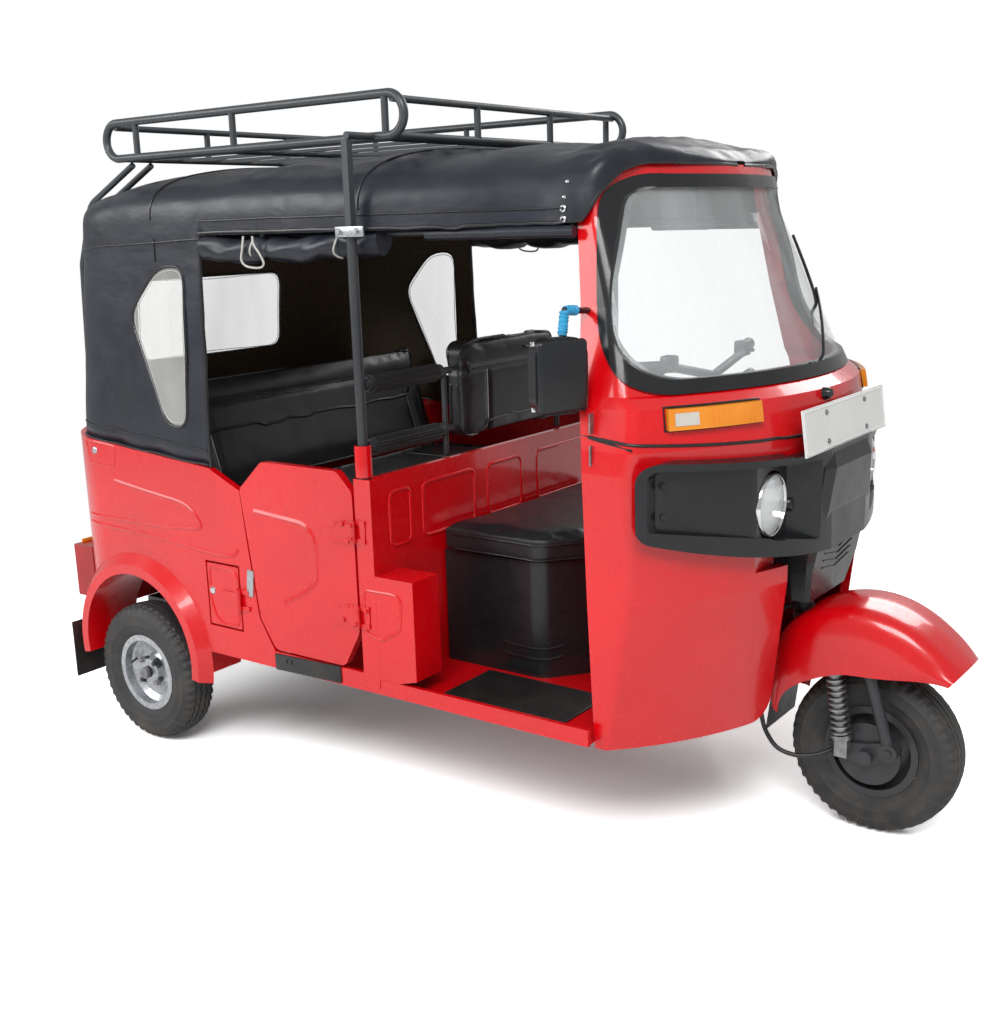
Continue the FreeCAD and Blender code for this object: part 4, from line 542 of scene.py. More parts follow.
def between(rows, row):
    """Smooth value between listed rows, at a fractional row number."""
    i = min(int(row), len(rows) - 2)
    t = row - i
    a, b, c, d = (rows[min(max(k, 0), len(rows) - 1)] for k in (i - 1, i, i + 1, i + 2))
    return [q + 0.5 * t * (r - p + t * (2 * p - 5 * q + 4 * r - s + t * (3 * (q - r) + s - p)))
            for p, q, r, s in zip(a, b, c, d)]


def hood_point(row, around, inset=0.0):
    """A point on the skin; around runs from the left hem (-1) over the crown to the right hem (1)."""
    x, half, crown, side = between(ROWS, row)
    half, crown = max(half, 0.0), max(crown, side)
    reach = abs(around)
    if reach < ROOF_SHARE:
        share = sin(reach / ROOF_SHARE * pi / 2) ** 0.72
        y, z = half * share, side + (crown - side) * max(1 - share ** 2.5, 0.0) ** 0.25
    else:
        fall = (reach - ROOF_SHARE) / (1 - ROOF_SHARE)
        low = hem_height(x) if x < -0.555 else (1.36 if x < 0.5 else side - 0.002)
        z = side + (low - side) * fall
        y = half + 0.026 * min(max((side - z) / 0.6, 0), 1) * min(half / 0.385, 1)
    gap = next((b - a, (x - a) / (b - a)) for a, b in zip([-2] + HOOPS, HOOPS + [2]) if a <= x <= b)
    if gap[0] < 0.5 and reach < 0.55:
        narrow = min(gap[0] / 0.3, 1)
        z -= 0.011 * sin(pi * gap[1]) ** 2 * cos(reach / 0.55 * pi / 2) * narrow
    lean = 0.10 * max(0.0, 1.0 - (x - REAR) / 0.42)
    span = hypot(y, z - 1.2) or 1
    return Vector((x + (z - 0.801) * lean, (y - inset * y / span) * (-1 if around > 0 else 1),
                   z - inset * (z - 1.2) / span))


def creases(point):
    """How far the cover stands in or out from its smooth shape, in metres."""
    ripple = 0.0022 * noise.noise(point * 6.0) + 0.0011 * noise.noise(point * 17.0)
    front = max(0.0, min((point.x - 0.44) / 0.07, 1.0)) * max(0.0, min((0.70 - point.x) / 0.05, 1))
    pulled = abs(noise.noise(Vector((point.x * 9 + abs(point.y) * 16, abs(point.y) * 5, point.z * 11))))
    hem = max(0.0, 1 - abs(point.z - hem_height(point.x)) / 0.22) if point.x < -0.58 else 0.0
    folds = 0.003 * sin(point.x * 34 + point.y * 30) * hem
    fan = 0.0
    if point.x < -0.95 and point.z < 1.46:
        fan = 0.0045 * noise.noise(Vector((point.x * 7, point.y * 7, (point.z + point.x * 1.6) * 5)))
    return ripple + front * (0.006 + 0.013 * pulled) + folds + fan


print("hood rows:", len(ROWS), "hoops:", len(HOOPS))

# %% [markdown]
# The sheet starts as a flat grid whose rows lie about 22 mm apart along the vehicle, and
# it is laid onto those sections. Then creases push it in and out, the doorways are cut
# away, and the windows are sliced along their outlines. Slicing gives smooth edges, where
# deleting whole faces would leave steps.

# %% Hood sheet
row_stops = []
for i in range(len(ROWS) - 1):
    length = dist(ROWS[i][:2], ROWS[i + 1][:2])
    parts = max(2, round(length / 0.022))
    row_stops += [i + k / parts for k in range(parts)]
row_stops.append(len(ROWS) - 1.0)
HALF_AROUND = 46
hood = bmesh.new()
hood.loops.layers.uv.new("cloth")
bmesh.ops.create_grid(hood, x_segments=len(row_stops) - 1, y_segments=2 * HALF_AROUND, size=1.0,
                      calc_uvs=True)
for vert in hood.verts:
    row = row_stops[round((vert.co.x + 1) / 2 * (len(row_stops) - 1))]
    vert.co = hood_point(row, -vert.co.y)
bmesh.ops.remove_doubles(hood, verts=hood.verts, dist=1e-5)
bmesh.ops.recalc_face_normals(hood, faces=hood.faces)
crown_face = max(hood.faces, key=lambda f: f.calc_center_median().z)
if crown_face.normal.z < 0:
    bmesh.ops.reverse_faces(hood, faces=hood.faces)
hood.normal_update()
shifts = [(vert, vert.normal * creases(vert.co)) for vert in hood.verts]
for vert, shift in shifts:
    vert.co += shift


def slice_region(bm, chosen, place, normal):
    faces = [f for f in bm.faces if chosen(f.calc_center_median())]
    geometry = faces + list({e for f in faces for e in f.edges}) + list({v for f in faces for v in f.verts})
    bmesh.ops.bisect_plane(bm, geom=geometry, plane_co=place, plane_no=normal, dist=1e-6)


def rounded(corners, radius, steps=4):
    """A convex outline with its corners rounded."""
    outline = []
    for i, corner in enumerate(corners):
        a = Vector(corners[i - 1]) - Vector(corner)
        b = Vector(corners[(i + 1) % len(corners)]) - Vector(corner)
        start, end = (Vector(corner) + v.normalized() * min(radius, v.length * 0.45) for v in (a, b))
        for k in range(steps + 1):
            t = k / steps
            outline.append(start * (1 - t) ** 2 + Vector(corner) * 2 * t * (1 - t) + end * t * t)
    return outline


def inside(outline, spot):
    turns = [(b - a).cross(spot - a) for a, b in zip(outline, outline[1:] + outline[:1])]
    return all(t > 0 for t in turns) or all(t < 0 for t in turns)


def cut_window(bm, outline, axis, chosen):
    """Slices along every side of the outline, drawn across the given axis; returns the faces inside it."""
    def flat(point):
        return Vector([v for i, v in enumerate(point) if i != axis])

    def solid(point):
        return Vector([*point[:axis], 0.0, *point[axis:]])

    for a, b in zip(outline, outline[1:] + outline[:1]):
        run = b - a
        if run.length > 1e-5:
            slice_region(bm, chosen, solid(a), solid(Vector((-run.y, run.x))))
    middles = [(f, f.calc_center_median()) for f in bm.faces]
    return [f for f, middle in middles if chosen(middle) and inside(outline, flat(middle))]


DOOR_EDGE, DOOR_TOP = -0.5775, 1.4745
slice_region(hood, lambda c: c.z < 1.60 and abs(c.y) > 0.3 and c.x > -0.70, (DOOR_EDGE, 0, 0), (1, 0, 0))
slice_region(hood, lambda c: c.z < 1.60 and abs(c.y) > 0.3 and c.x > -0.60, (0, 0, DOOR_TOP), (0, 0, 1))
middles = [(f, f.calc_center_median()) for f in hood.faces]
doorway = [f for f, middle in middles if middle.z < DOOR_TOP and middle.x > DOOR_EDGE]
bmesh.ops.delete(hood, geom=doorway, context="FACES")
QUARTER = rounded([(-0.757, 1.394), (-0.646, 1.399), (-0.662, 0.960), (-0.748, 0.967), (-0.8835, 1.267)],
                  0.05)
BACK = rounded([(-0.31, 1.087), (0.31, 1.087), (0.31, 1.345), (-0.31, 1.345)], 0.05)
panes = []
for side in (-1, 1):
    panes += cut_window(hood, QUARTER, 1,
                        lambda c: c.y * side > 0.4 and -0.92 < c.x < -0.60 and 0.91 < c.z < 1.44)
panes += cut_window(hood, BACK, 0, lambda c: c.x < -1.15 and abs(c.y) < 0.37 and 1.03 < c.z < 1.40)
print("window faces:", len(panes))

# %% [markdown]
# The panes are the very faces that were sliced out, kept as thin clear vinyl, so they
# sit flush in the cover. A welt of black piping runs round each one over the seam, with
# a pale line of thread inside it, as on the sewn original.

# %% Windows, welts and the finished cover
hood.faces.index_update()
pane_index = {f.index for f in panes}
glass = hood.copy()
glass.faces.ensure_lookup_table()
bmesh.ops.delete(glass, geom=[f for f in glass.faces if f.index not in pane_index], context="FACES")


def border_loops(bm):
    """The open edges of a mesh as ordered rings of points."""
    edges = {e for e in bm.edges if e.is_boundary}
    rings = []
    while edges:
        edge = edges.pop()
        ring, vert = [edge.verts[0], edge.verts[1]], edge.verts[1]
        while True:
            onward = [e for e in vert.link_edges if e in edges]
            if not onward:
                break
            edges.discard(onward[0])
            vert = onward[0].other_vert(vert)
            if vert == ring[0]:
                break
            ring.append(vert)
        rings.append([v.co.copy() for v in ring])
    return rings


window_rings = border_loops(glass)
bmesh.ops.delete(hood, geom=panes, context="FACES")
hood_seams = bmesh.new()
for ring in window_rings:
    sparse = ring[::max(1, len(ring) // 90)]
    add_tube(hood_seams, sparse, 0.0042, closed=True)
    middle = sum(sparse, Vector()) / len(sparse)
    stitches = [p + (middle - p).normalized() * 0.011 for p in sparse]
    add_tube(hood_seams, stitches, 0.0011, closed=True, sides=1, material=1)
hood_area = sum(f.calc_area() for f in hood.faces)
finished("hood_windows", glass, clear_vinyl, replaces=["canopy_windows"])
cover = finished("hood_cover", hood, [hood_vinyl, lining], replaces=["canopy"], crisp=60)
wall = cover.modifiers.new("cloth thickness", "SOLIDIFY")
wall.thickness, wall.offset, wall.material_offset = 0.0025, -1.0, 1
hood_tree = surface_tree(cover)

# %% [markdown]
# Seams tell the eye that a surface is cloth. Piping follows the shoulder of the rear
# panel and the hoops, a doubled hem with two stitch lines runs along the gutter, and the
# door edge is bound. The hoops themselves show from inside.

# %% Piping, hems and hoops
def hood_line(x, stops):
    """Points on the cover at one place along the vehicle."""
    row = min(row_stops, key=lambda r: abs(between(ROWS, r)[0] - x) if r > 3 else 9)
    return [hood_point(row, s) for s in stops]


def piping(points, lift, girth):
    add_tube(hood_seams, laid_on(hood_tree, points, lift), girth)


over_roof = [k / 30 for k in range(-18, 19)]
for x, girth in ((-0.760, 0.0026), (-0.028, 0.0026), (0.520, 0.0034)):
    piping(hood_line(x, over_roof), 0.0012, girth)
for side in (-1, 1):
    down = [Vector((-0.760, side * 0.60, z / 1000)) for z in range(1470, 1405, -20)]
    piping(down, 0.001, 0.0024)
    shoulder = [Vector((x / 1000, side * 0.62, 1.447 + (x + 1230) * 0.00003)) for x in range(-1230, -560, 30)]
    piping(shoulder, 0.0012, 0.0026)
    for lift, girth in ((0.006, 0.0046), (0.040, 0.0022)):
        hem = [Vector((x / 1000, side * 0.65, 1.4755 + lift)) for x in range(-577, 535, 24)]
        piping(hem, 0.0016, girth)
    edge = [Vector((-0.5785, side * 0.65, z / 1000)) for z in range(862, 1476, 24)]
    piping(edge, 0.0008, 0.0052)
    foot = [Vector((x / 1000, side * 0.68, hem_height(x / 1000) + 0.004)) for x in range(-1215, -570, 24)]
    for lift, girth in ((0.0, 0.0042), (0.042, 0.0018)):
        piping([p + Vector((0, 0, lift)) for p in foot], 0.0012, girth)
    front = [hood_point(r / 4, side) for r in range(55, 81)]
    piping(front, 0.001, 0.0045)
finished("hood_seams", hood_seams, [piping_vinyl, pale_thread])

hoops = bmesh.new()
for x in (-0.930, -0.360, -0.028, 0.300):
    stops = [k / 40 for k in range(-25, 26)]
    skin = hood_line(x, stops)
    add_tube(hoops, [p - (p - Vector((p.x, 0, 1.1))).normalized() * 0.018 for p in skin], 0.008)
for side in (-1, 1):
    half = between(ROWS, 9)[1] - 0.045
    rail = [(x, side * (half - max(0, x + 0.1) * 0.13), 1.468) for x in (-0.56, -0.3, -0.05, 0.25, 0.50)]
    add_tube(hoops, rail, 0.009)
finished("hood_hoops", hoops, black_paint)

# %% [markdown]
# The side curtains are rolled up under the gutter and tied. A roll is a tube whose
# girth swells and pinches at the ties. The ties are pale cords.

# %% Rolled curtains, ties and eyelets
rolls, ties = bmesh.new(), bmesh.new()
path = [Vector(p) for p in ((-0.562, -0.578, 1.444), (-0.40, -0.574, 1.436), (-0.22, -0.566, 1.438),
                            (-0.10, -0.552, 1.444), (0.02, -0.538, 1.448))]
part = bmesh.new()
bmesh.ops.create_cone(part, cap_ends=True, segments=30, radius1=0.032, radius2=0.032, depth=1.0)
long_edges = [e for e in part.edges if abs(e.verts[0].co.z - e.verts[1].co.z) > 0.5]
bmesh.ops.subdivide_edges(part, edges=long_edges, cuts=60, use_grid_fill=True)
for vert in part.verts:
    share = vert.co.z + 0.5
    spot = share * (len(path) - 1)
    i = min(int(spot), len(path) - 2)
    centre = path[i].lerp(path[i + 1], spot - i)
    angle = atan2(vert.co.y, vert.co.x)
    girth = hypot(vert.co.x, vert.co.y) / 0.032
    lumps = 0.003 * noise.noise(Vector((share * 14, angle, 0)))
    fat = 0.029 + 0.004 * sin(angle * 3 + share * 26) * 0.5 + lumps
    pinch = sum(exp(-((share - k) / 0.018) ** 2) for k in (0.34, 0.80))
    fat *= 1 - 0.28 * min(pinch, 1)
    drop = 0.006 * sin(share * pi * 3) ** 2
    vert.co = centre + Vector((0, cos(angle) * fat * girth, sin(angle) * fat * girth * 1.05 - drop))
stamp(rolls, part)
for start in (0.15, 0.34):
    y = -0.535 + (start - 0.15) * 0.10
    add_tube(rolls, [(start, y, 1.462), (start + 0.19, y + 0.020, 1.461)], 0.013, smooth=False, sides=4)
for x, y in ((-0.372, -0.575), (-0.095, -0.563)):
    loop = [(x + 0.004 * sin(a * 3), y + 0.027 * cos(a), 1.438 + 0.026 * sin(a))
            for a in [k * tau / 14 for k in range(14)]]
    add_tube(ties, loop, 0.0026, closed=True)
HANG = [(-0.385, 1.470), (-0.392, 1.440), (-0.398, 1.412), (-0.380, 1.396), (-0.335, 1.392),
        (-0.318, 1.402), (-0.330, 1.425), (-0.350, 1.450), (-0.352, 1.470)]
add_mirror(rolls)
add_mirror(ties)
curtains = finished("rolled_curtains", rolls, hood_vinyl, replaces=["side_curtains"],
                    crisp=50)
finished("curtain_ties", ties, pale_thread)
for side, name in ((-1, "right_curtain_cord"), (1, "left_curtain_cord")):
    spots = [(x, side * 0.6085, z) for x, z in HANG]
    route = [Vector(between(spots, k / 6)) for k in range(6 * (len(spots) - 1) + 1)]
    length = sum((b - a).length for a, b in zip(route, route[1:]))
    hanging = bmesh.new()
    add_tube(hanging, route, 0.0028, smooth=False)
    cord = finished(name, hanging, pale_thread)
    print(name, round(length, 3), "m long")

eyelets = bmesh.new()
for side in (-1, 1):
    for x, z in ((0.517, 1.490), (0.517, 1.513)):
        spot, normal, _, _ = hood_tree.find_nearest(Vector((x, side * 0.6, z)))
        profile = [(0.0035, 0.0), (0.0075, 0.0), (0.0078, 0.0012), (0.0058, 0.0026), (0.0035, 0.0016)]
        ring = lathed(profile, 24)
        stamp(eyelets, ring, facing(spot + normal * 0.0006, normal))
    for z in (1.600, 1.560):
        spot, normal, _, _ = hood_tree.find_nearest(Vector((0.522, side * 0.6, z)))
        stud = lathed([(0, 0.0026), (0.003, 0.0020), (0.0042, 0.0)], 14)
        stamp(eyelets, stud, facing(spot + normal * 0.002, normal))
finished("hood_eyelets", eyelets, chrome)

# %% [markdown]
# ## Tyres
# Four-ply tyres of this kind have zigzag ribs round the tread and short lugs at the
# shoulder. The section is turned about the axle in many steps, then the tread's points
# are swung from side to side and the shoulder's pressed in turn by turn, which carves
# ribs and lugs into the rubber itself. Fine rings mark the side wall.

# %% Tyres
FRONT_AXLE, REAR_AXLE, AXLE_Z, HALF_TRACK = 1.0675, -0.9325, 0.2075, 0.575
TREAD = [(0.1165, 0.0405), (0.1195, 0.0425), (0.126, 0.0465), (0.136, 0.0508), (0.1465, 0.0536),
         (0.1478, 0.0546), (0.1492, 0.0546), (0.1505, 0.0542), (0.165, 0.0543), (0.1725, 0.0536),
         (0.1738, 0.0541), (0.1752, 0.0539), (0.1765, 0.0528), (0.186, 0.0506), (0.1925, 0.0478),
         (0.1975, 0.0445), (0.2010, 0.0400), (0.2032, 0.0345), (0.2042, 0.0300), (0.1985, 0.0288),
         (0.1987, 0.0262), (0.2050, 0.0250), (0.2064, 0.0125), (0.2000, 0.0113), (0.2001, 0.0087),
         (0.2068, 0.0075), (0.2075, 0.0)]
section = TREAD + [(r, -h) for r, h in TREAD[-2::-1]]
STEPS, WAVE = 192, 4


def tyre(name, x, y, body, node):
    bm = lathed(section, STEPS)
    for vert in bm.verts:
        radius = hypot(vert.co.x, vert.co.y)
        step = round(atan2(vert.co.y, vert.co.x) / tau * STEPS) % STEPS
        flip = 1 if step % WAVE < WAVE / 2 else -1
        if radius > 0.1978 and abs(vert.co.z) < 0.0315:
            vert.co.z += 0.0017 * flip
        elif 0.1855 < radius < 0.2045 and flip < 0:
            deep = 0.0042 if radius > 0.1915 else 0.0012
            vert.co.x -= vert.co.x / radius * deep
            vert.co.y -= vert.co.y / radius * deep
            vert.co.z -= copysign(deep * 0.5, vert.co.z)
    inner = [e for e in bm.edges if e.is_boundary]
    bmesh.ops.bridge_loops(bm, edges=inner)
    upright = at(x, y, AXLE_Z) @ Matrix.Rotation(pi / 2, 4, "X")
    bmesh.ops.transform(bm, verts=bm.verts, matrix=upright)
    bmesh.ops.recalc_face_normals(bm, faces=bm.faces)
    return finished(name, bm, tyre_rubber, body, [node], crisp=28)


tyre("front_tread", FRONT_AXLE, 0.0, "front_wheel", "front_tyre")
tyre("rear_right_tread", REAR_AXLE, -HALF_TRACK, "rear_wheel_right", "rear_right_tyre")
tyre("rear_left_tread", REAR_AXLE, HALF_TRACK, "rear_wheel_left", "rear_left_tyre")

# %% [markdown]
# Each rear wheel is held by four nuts on a dark cast flange that shows in the wheel's
# bowl, with a grease cap at its centre and a rubber valve through the rim. They are
# small, but without them a wheel looks like a plate.

# %% Hubs, nuts and valves
for name, out in (("right", -1), ("left", 1)):
    x, y = REAR_AXLE, out * HALF_TRACK
    hub = bmesh.new()
    face = y + out * 0.0305
    cap = [(0, 0.013), (0.012, 0.013), (0.017, 0.009), (0.019, 0.0), (0.030, -0.001), (0.031, -0.010)]
    stamp(hub, lathed(cap, 32), facing((x, face, AXLE_Z), (0, out, 0)))
    for k in range(4):
        angle = pi / 4 + k * pi / 2
        spot = (x + 0.036 * cos(angle), face - out * 0.012, AXLE_Z + 0.036 * sin(angle))
        arm = block((0.030, 0.020, 0.016), 0.004)
        stamp(hub, arm, facing(spot, (0, out, 0), angle if out > 0 else -angle))
        nut = bolt(0.0085, 0.013)
        tip = (x + 0.043 * cos(angle), face - out * 0.005, AXLE_Z + 0.043 * sin(angle))
        stamp(hub, nut, facing(tip, (0, out, 0)), 1 if k % 2 else 0)
    valve = [(x - 0.086, y + out * 0.005, 0.225), (x - 0.082, y + out * 0.022, 0.224),
             (x - 0.076, y + out * 0.034, 0.222)]
    add_tube(hub, valve, 0.0036)
    finished(name + "_hub_fittings", hub, [black_paint, worn_steel], "rear_wheel_" + name)
hub = bmesh.new()
for k in range(4):
    angle = pi / 4 + k * pi / 2
    spot = (FRONT_AXLE + 0.052 * cos(angle), 0.012, AXLE_Z + 0.052 * sin(angle))
    stamp(hub, bolt(0.0085, 0.012), facing(spot, (0, 1, 0)))
finished("front_hub_nuts", hub, worn_steel, "front_wheel")

# %% [markdown]
# ## Cushions
# The bench and the driver's seat are foam under stretched vinyl. A hard block with round
# edges doesn't read as soft, so each is blown up a little: its shape is made slightly
# smaller, divided evenly, given air pressure as cloth for a few frames, and held to a
# small swell. Afterwards the seams are pressed in and piping is laid along the edges.

# %% Cushions blown up as cloth
AIR_PRESSURE, AIR_FRAMES, SHRUNK = 4.0, 20, 0.016


def swollen(node, voxel, most):
    """A copy of the frame's block, shrunk, evenly divided and blown up as a sewn cover."""
    source = nodes[node]
    mesh = source.data.copy()
    mesh.transform(source.matrix_world)
    low, high = (Vector(v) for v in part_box(node))
    middle, size = (low + high) / 2, high - low
    for vert in mesh.vertices:
        vert.co = Vector([m + (c - m) * (1 - SHRUNK / s) for c, m, s in zip(vert.co, middle, size)])
    holder = bpy.data.objects.new(node + "_air", mesh)
    scene.collection.objects.link(holder)
    even = holder.modifiers.new("even", "REMESH")
    even.mode, even.voxel_size = "VOXEL", voxel
    even_mesh = bpy.data.meshes.new_from_object(holder.evaluated_get(bpy.context.evaluated_depsgraph_get()))
    holder.modifiers.clear()
    holder.data = even_mesh
    start = [v.co.copy() for v in even_mesh.vertices]
    air = holder.modifiers.new("air", "CLOTH")
    air.settings.use_pressure = True
    air.settings.uniform_pressure_force = AIR_PRESSURE
    air.settings.effector_weights.gravity = 0.0
    for step in range(1, AIR_FRAMES + 1):
        scene.frame_set(step)
    ended = holder.evaluated_get(bpy.context.evaluated_depsgraph_get()).data.vertices
    moves = [v.co - a for v, a in zip(ended, start)]
    for vert, a, move in zip(even_mesh.vertices, start, moves):
        vert.co = a + move * min(1.0, most / max(move.length, 1e-6))
    holder.modifiers.clear()
    scene.frame_set(1)
    bm = bmesh.new()
    bm.from_mesh(even_mesh)
    bmesh.ops.smooth_vert(bm, verts=bm.verts, factor=0.5, use_axis_x=True, use_axis_y=True,
                          use_axis_z=True)
    bpy.data.objects.remove(holder)
    swell = max((b.co - a).length for a, b in zip(start, bm.verts))
    print(node, "swells", round(swell * 1000), "mm")
    return bm


def press(bm, distance, wide, deep):
    """Pushes the skin in along a seam; distance gives how far a point is from it."""
    bm.normal_update()
    moves = [(v, v.normal * -deep * exp(-(distance(v.co) / wide) ** 2)) for v in bm.verts]
    for vert, move in moves:
        vert.co += move


def wrinkled(bm, scale, deep):
    bm.normal_update()
    moves = [(v, v.normal * deep * (abs(noise.noise(v.co * scale)) - 0.3)) for v in bm.verts]
    for vert, move in moves:
        vert.co += move


def cushion(name, node, bm):
    made = finished(name, bm, seat_vinyl, replaces=[node], crisp=180)
    fine = made.modifiers.new("fine", "SUBSURF")
    fine.levels = fine.render_levels = 1
    return made


def frame_line(low, high, inset, bend=0.04):
    """A rounded rectangle inside two opposite corners."""
    (a, b), (c, d) = (low[0] + inset, low[1] + inset), (high[0] - inset, high[1] - inset)
    return spread(rounded([(a, b), (c, b), (c, d), (a, d)], bend), 0.02, True)


def seam(tree, line, way, lift, girth, **looks):
    """Piping or thread along a line, cast onto a cushion."""
    add_tube(seat_seams, traced(tree, line, way, lift), girth, **looks)


seat_seams = bmesh.new()
seat_low, seat_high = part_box("bench_seat")
bm = swollen("bench_seat", 0.009, 0.022)
press(bm, lambda p: abs(abs(p.y) - 0.30) if p.z > seat_low[2] + 0.03 else 9, 0.010, 0.006)
wrinkled(bm, 7.0, 0.0015)
bench = cushion("bench_cushion", "bench_seat", bm)
tree = surface_tree(bench)
edge = [(x, y, 1.0) for x, y in frame_line(seat_low[:2], seat_high[:2], 0.020)]
seam(tree, edge, DOWN, 0.001, 0.0042, closed=True)
for y in (-0.30, 0.30):
    line = spread([(seat_low[0] + 0.03, y, 1.0), (seat_high[0] - 0.02, y, 1.0)], 0.02)
    seam(tree, line, DOWN, 0.0002, 0.0016, material=1)

back_low, back_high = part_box("bench_back")
bm = swollen("bench_back", 0.009, 0.012)
press(bm, lambda p: min(abs(p.z - 1.000), abs(abs(p.y) - 0.44) if p.z < 1.0 else 9), 0.010, 0.007)
wrinkled(bm, 7.0, 0.0015)
back = cushion("bench_back_cushion", "bench_back", bm)
tree = surface_tree(back)
edge = [(-0.3, y, z) for y, z in frame_line((back_low[1], back_low[2]), (back_high[1], back_high[2]), 0.022)]
seam(tree, edge, BACKWARDS, 0.001, 0.0042, closed=True)
line = spread([(-0.3, -0.53, 1.0), (-0.3, 0.53, 1.0)], 0.02)
seam(tree, line, BACKWARDS, 0.0, 0.0030)
for y in (-0.44, 0.44):
    line = spread([(-0.3, y, back_low[2] + 0.04), (-0.3, y, 0.995)], 0.02)
    seam(tree, line, BACKWARDS, 0.0004, 0.0013, material=1)

bm = swollen("driver_seat", 0.008, 0.016)
wrinkled(bm, 8.0, 0.0015)
driver = cushion("driver_cushion", "driver_seat", bm)
tree = surface_tree(driver)
low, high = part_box("driver_seat")
for height, girth in ((high[2] - 0.022, 0.0040), (low[2] + 0.010, 0.0034)):
    middle = Vector(((low[0] + high[0]) / 2, 0, height))
    run = []
    for k in range(90):
        spot = middle + Vector((0.9 * cos(k * tau / 90), 0.9 * sin(k * tau / 90), 0))
        run += traced(tree, [spot], (middle - spot).normalized(), 0.0006)
    add_tube(seat_seams, run, girth, closed=True)

low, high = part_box("driver_backrest")
bm = swollen("driver_backrest", 0.007, 0.008)
press(bm, lambda p: min(abs(p.z - 1.105), abs(p.y + 0.11) if p.z < 1.105 else 9), 0.008, 0.006)
wrinkled(bm, 8.0, 0.0010)
rest = cushion("driver_back_cushion", "driver_backrest", bm)
tree = surface_tree(rest)
for x, way in ((0.4, -1), (-0.4, 1)):
    edge = [(x, y, z) for y, z in frame_line((low[1], low[2]), (high[1], high[2]), 0.016)]
    seam(tree, edge, (way, 0, 0), 0.001, 0.0038, closed=True)
    line = spread([(x, low[1] + 0.02, 1.105), (x, high[1] - 0.02, 1.105)], 0.02)
    seam(tree, line, (way, 0, 0), 0.0, 0.0026)
    line = spread([(x, -0.11, low[2] + 0.03), (x, -0.11, 1.10)], 0.02)
    seam(tree, line, (way, 0, 0), 0.0004, 0.0012, material=1)
finished("seat_seams", seat_seams, [piping_vinyl, pale_thread])

# %% [markdown]
# ## Lamps
# A lamp is a deep thing seen through glass. Each headlamp is a polished bowl with a bulb,
# a fluted front glass and a chrome ring, all turned about the lamp's axis. The front
# indicators are mostly amber with a clear end, in a dark gasket.

# %% Headlamps and indicators
BOWL = [(0.0, -0.058), (0.014, -0.056), (0.030, -0.048), (0.046, -0.034), (0.058, -0.018), (0.0655, 0.0)]
LAMP_SHELL = [(0.0655, 0.0), (0.0722, 0.001), (0.0722, -0.020), (0.060, -0.046), (0.036, -0.064),
              (0.0, -0.066)]
LAMP_RING = [(0.0650, 0.002), (0.0668, 0.0055), (0.0700, 0.0062), (0.0724, 0.0040), (0.0728, -0.004),
             (0.0722, -0.010)]
FRONT_GLASS = [(0.0, 0.0150), (0.012, 0.0146), (0.026, 0.0130), (0.040, 0.0104), (0.054, 0.0066),
               (0.0655, 0.0020)]
BULB = [(0.0, -0.012), (0.006, -0.014), (0.009, -0.022), (0.008, -0.034), (0.005, -0.040), (0.005, -0.056)]
fluted_glass = clear("fluted_lamp_glass", (0.93, 0.95, 0.96), 0.06, 0.2, 0.55)
units = bmesh.new()
for side in (-1, 1):
    place = facing((0.906, side * 0.288, 0.853), (1, 0, 0))
    for profile, finish in ((BOWL, 0), (LAMP_SHELL, 2), (LAMP_RING, 1)):
        stamp(units, lathed(profile, 56), place, finish)
    glass = lathed(FRONT_GLASS, 56)
    for vert in glass.verts:
        if hypot(vert.co.x, vert.co.y) < 0.064:
            vert.co.z += 0.0007 * sin(vert.co.x * 900)
    stamp(units, glass, place, 3)
    stamp(units, lathed(BULB, 24), place, 4)
    knob = lathed([(0, 0.016), (0.012, 0.015), (0.017, 0.011), (0.018, 0.0)], 28)
    stamp(units, knob, facing((0.905, side * 0.196, 0.838), (1, 0, 0)), 2)
finished("headlamp_units", units, [chrome, chrome, black_plastic, fluted_glass, white_plate],
         replaces=["headlamps"], crisp=50)

CAB_AXIS = Vector((0.100, 0.0, 0.0))
cowl_trees = {name: surface_tree(nodes[name]) for name in
              ("lower_cowl", "upper_cowl", "front_indicators", "windscreen_glass", "headlamp_fascia")}


def on_cab(piece, degrees, z, lift):
    """A point on the cab's front, by its angle from straight ahead and its height."""
    angle = radians(degrees)
    way = Vector((cos(angle), sin(angle), 0))
    spot, normal = cast(cowl_trees[piece], CAB_AXIS + way * 1.4 + Vector((0, 0, z)), -way)
    return spot + normal * lift


gaskets, insets = bmesh.new(), bmesh.new()
for side in (-1, 1):
    corners = [(21.4, 1.0435), (38.1, 1.0435), (38.1, 1.0915), (21.4, 1.0915)]
    line = [on_cab("upper_cowl", side * spot.x, spot.y, 0.001) for spot in spread(corners, 0.9, True)]
    add_tube(gaskets, line, 0.0030, smooth=False, closed=True, sides=2)
    for k in range(11):
        degrees = side * (22.6 + k * 0.9)
        rib = [on_cab("front_indicators", degrees, 1.0485 + j * 0.0076, 0.0) for j in range(6)]
        add_tube(insets, rib, 0.0013, material=1)
    patch = bmesh.new()
    bmesh.ops.create_grid(patch, x_segments=14, y_segments=8, size=1.0)
    for vert in patch.verts:
        degrees, z = side * (34.9 + vert.co.x * 1.9), 1.0675 + vert.co.y * 0.0135
        vert.co = on_cab("front_indicators", degrees, z, 0.0009)
    if side < 0:
        bmesh.ops.reverse_faces(patch, faces=patch.faces)
    stamp(insets, patch)
finished("indicator_gaskets", gaskets, seal_rubber)
finished("indicator_insets", insets, [clear_lens, amber_lens])

# %% [markdown]
# ## Pressed lines, hinges, latches and locks
# Sheet metal this thin is stiffened with pressed beads, and they catch the light on every
# flat side of the body. Each bead is a soft ridge in the same paint, laid over the panel
# by casting lines at it from outside, so it follows the panel's curve. The hinge plates,
# the bolts and the locks are set on the sheet in the same way.

# %% Beads, hinge plates and locks
OUTSIDE = 0.80


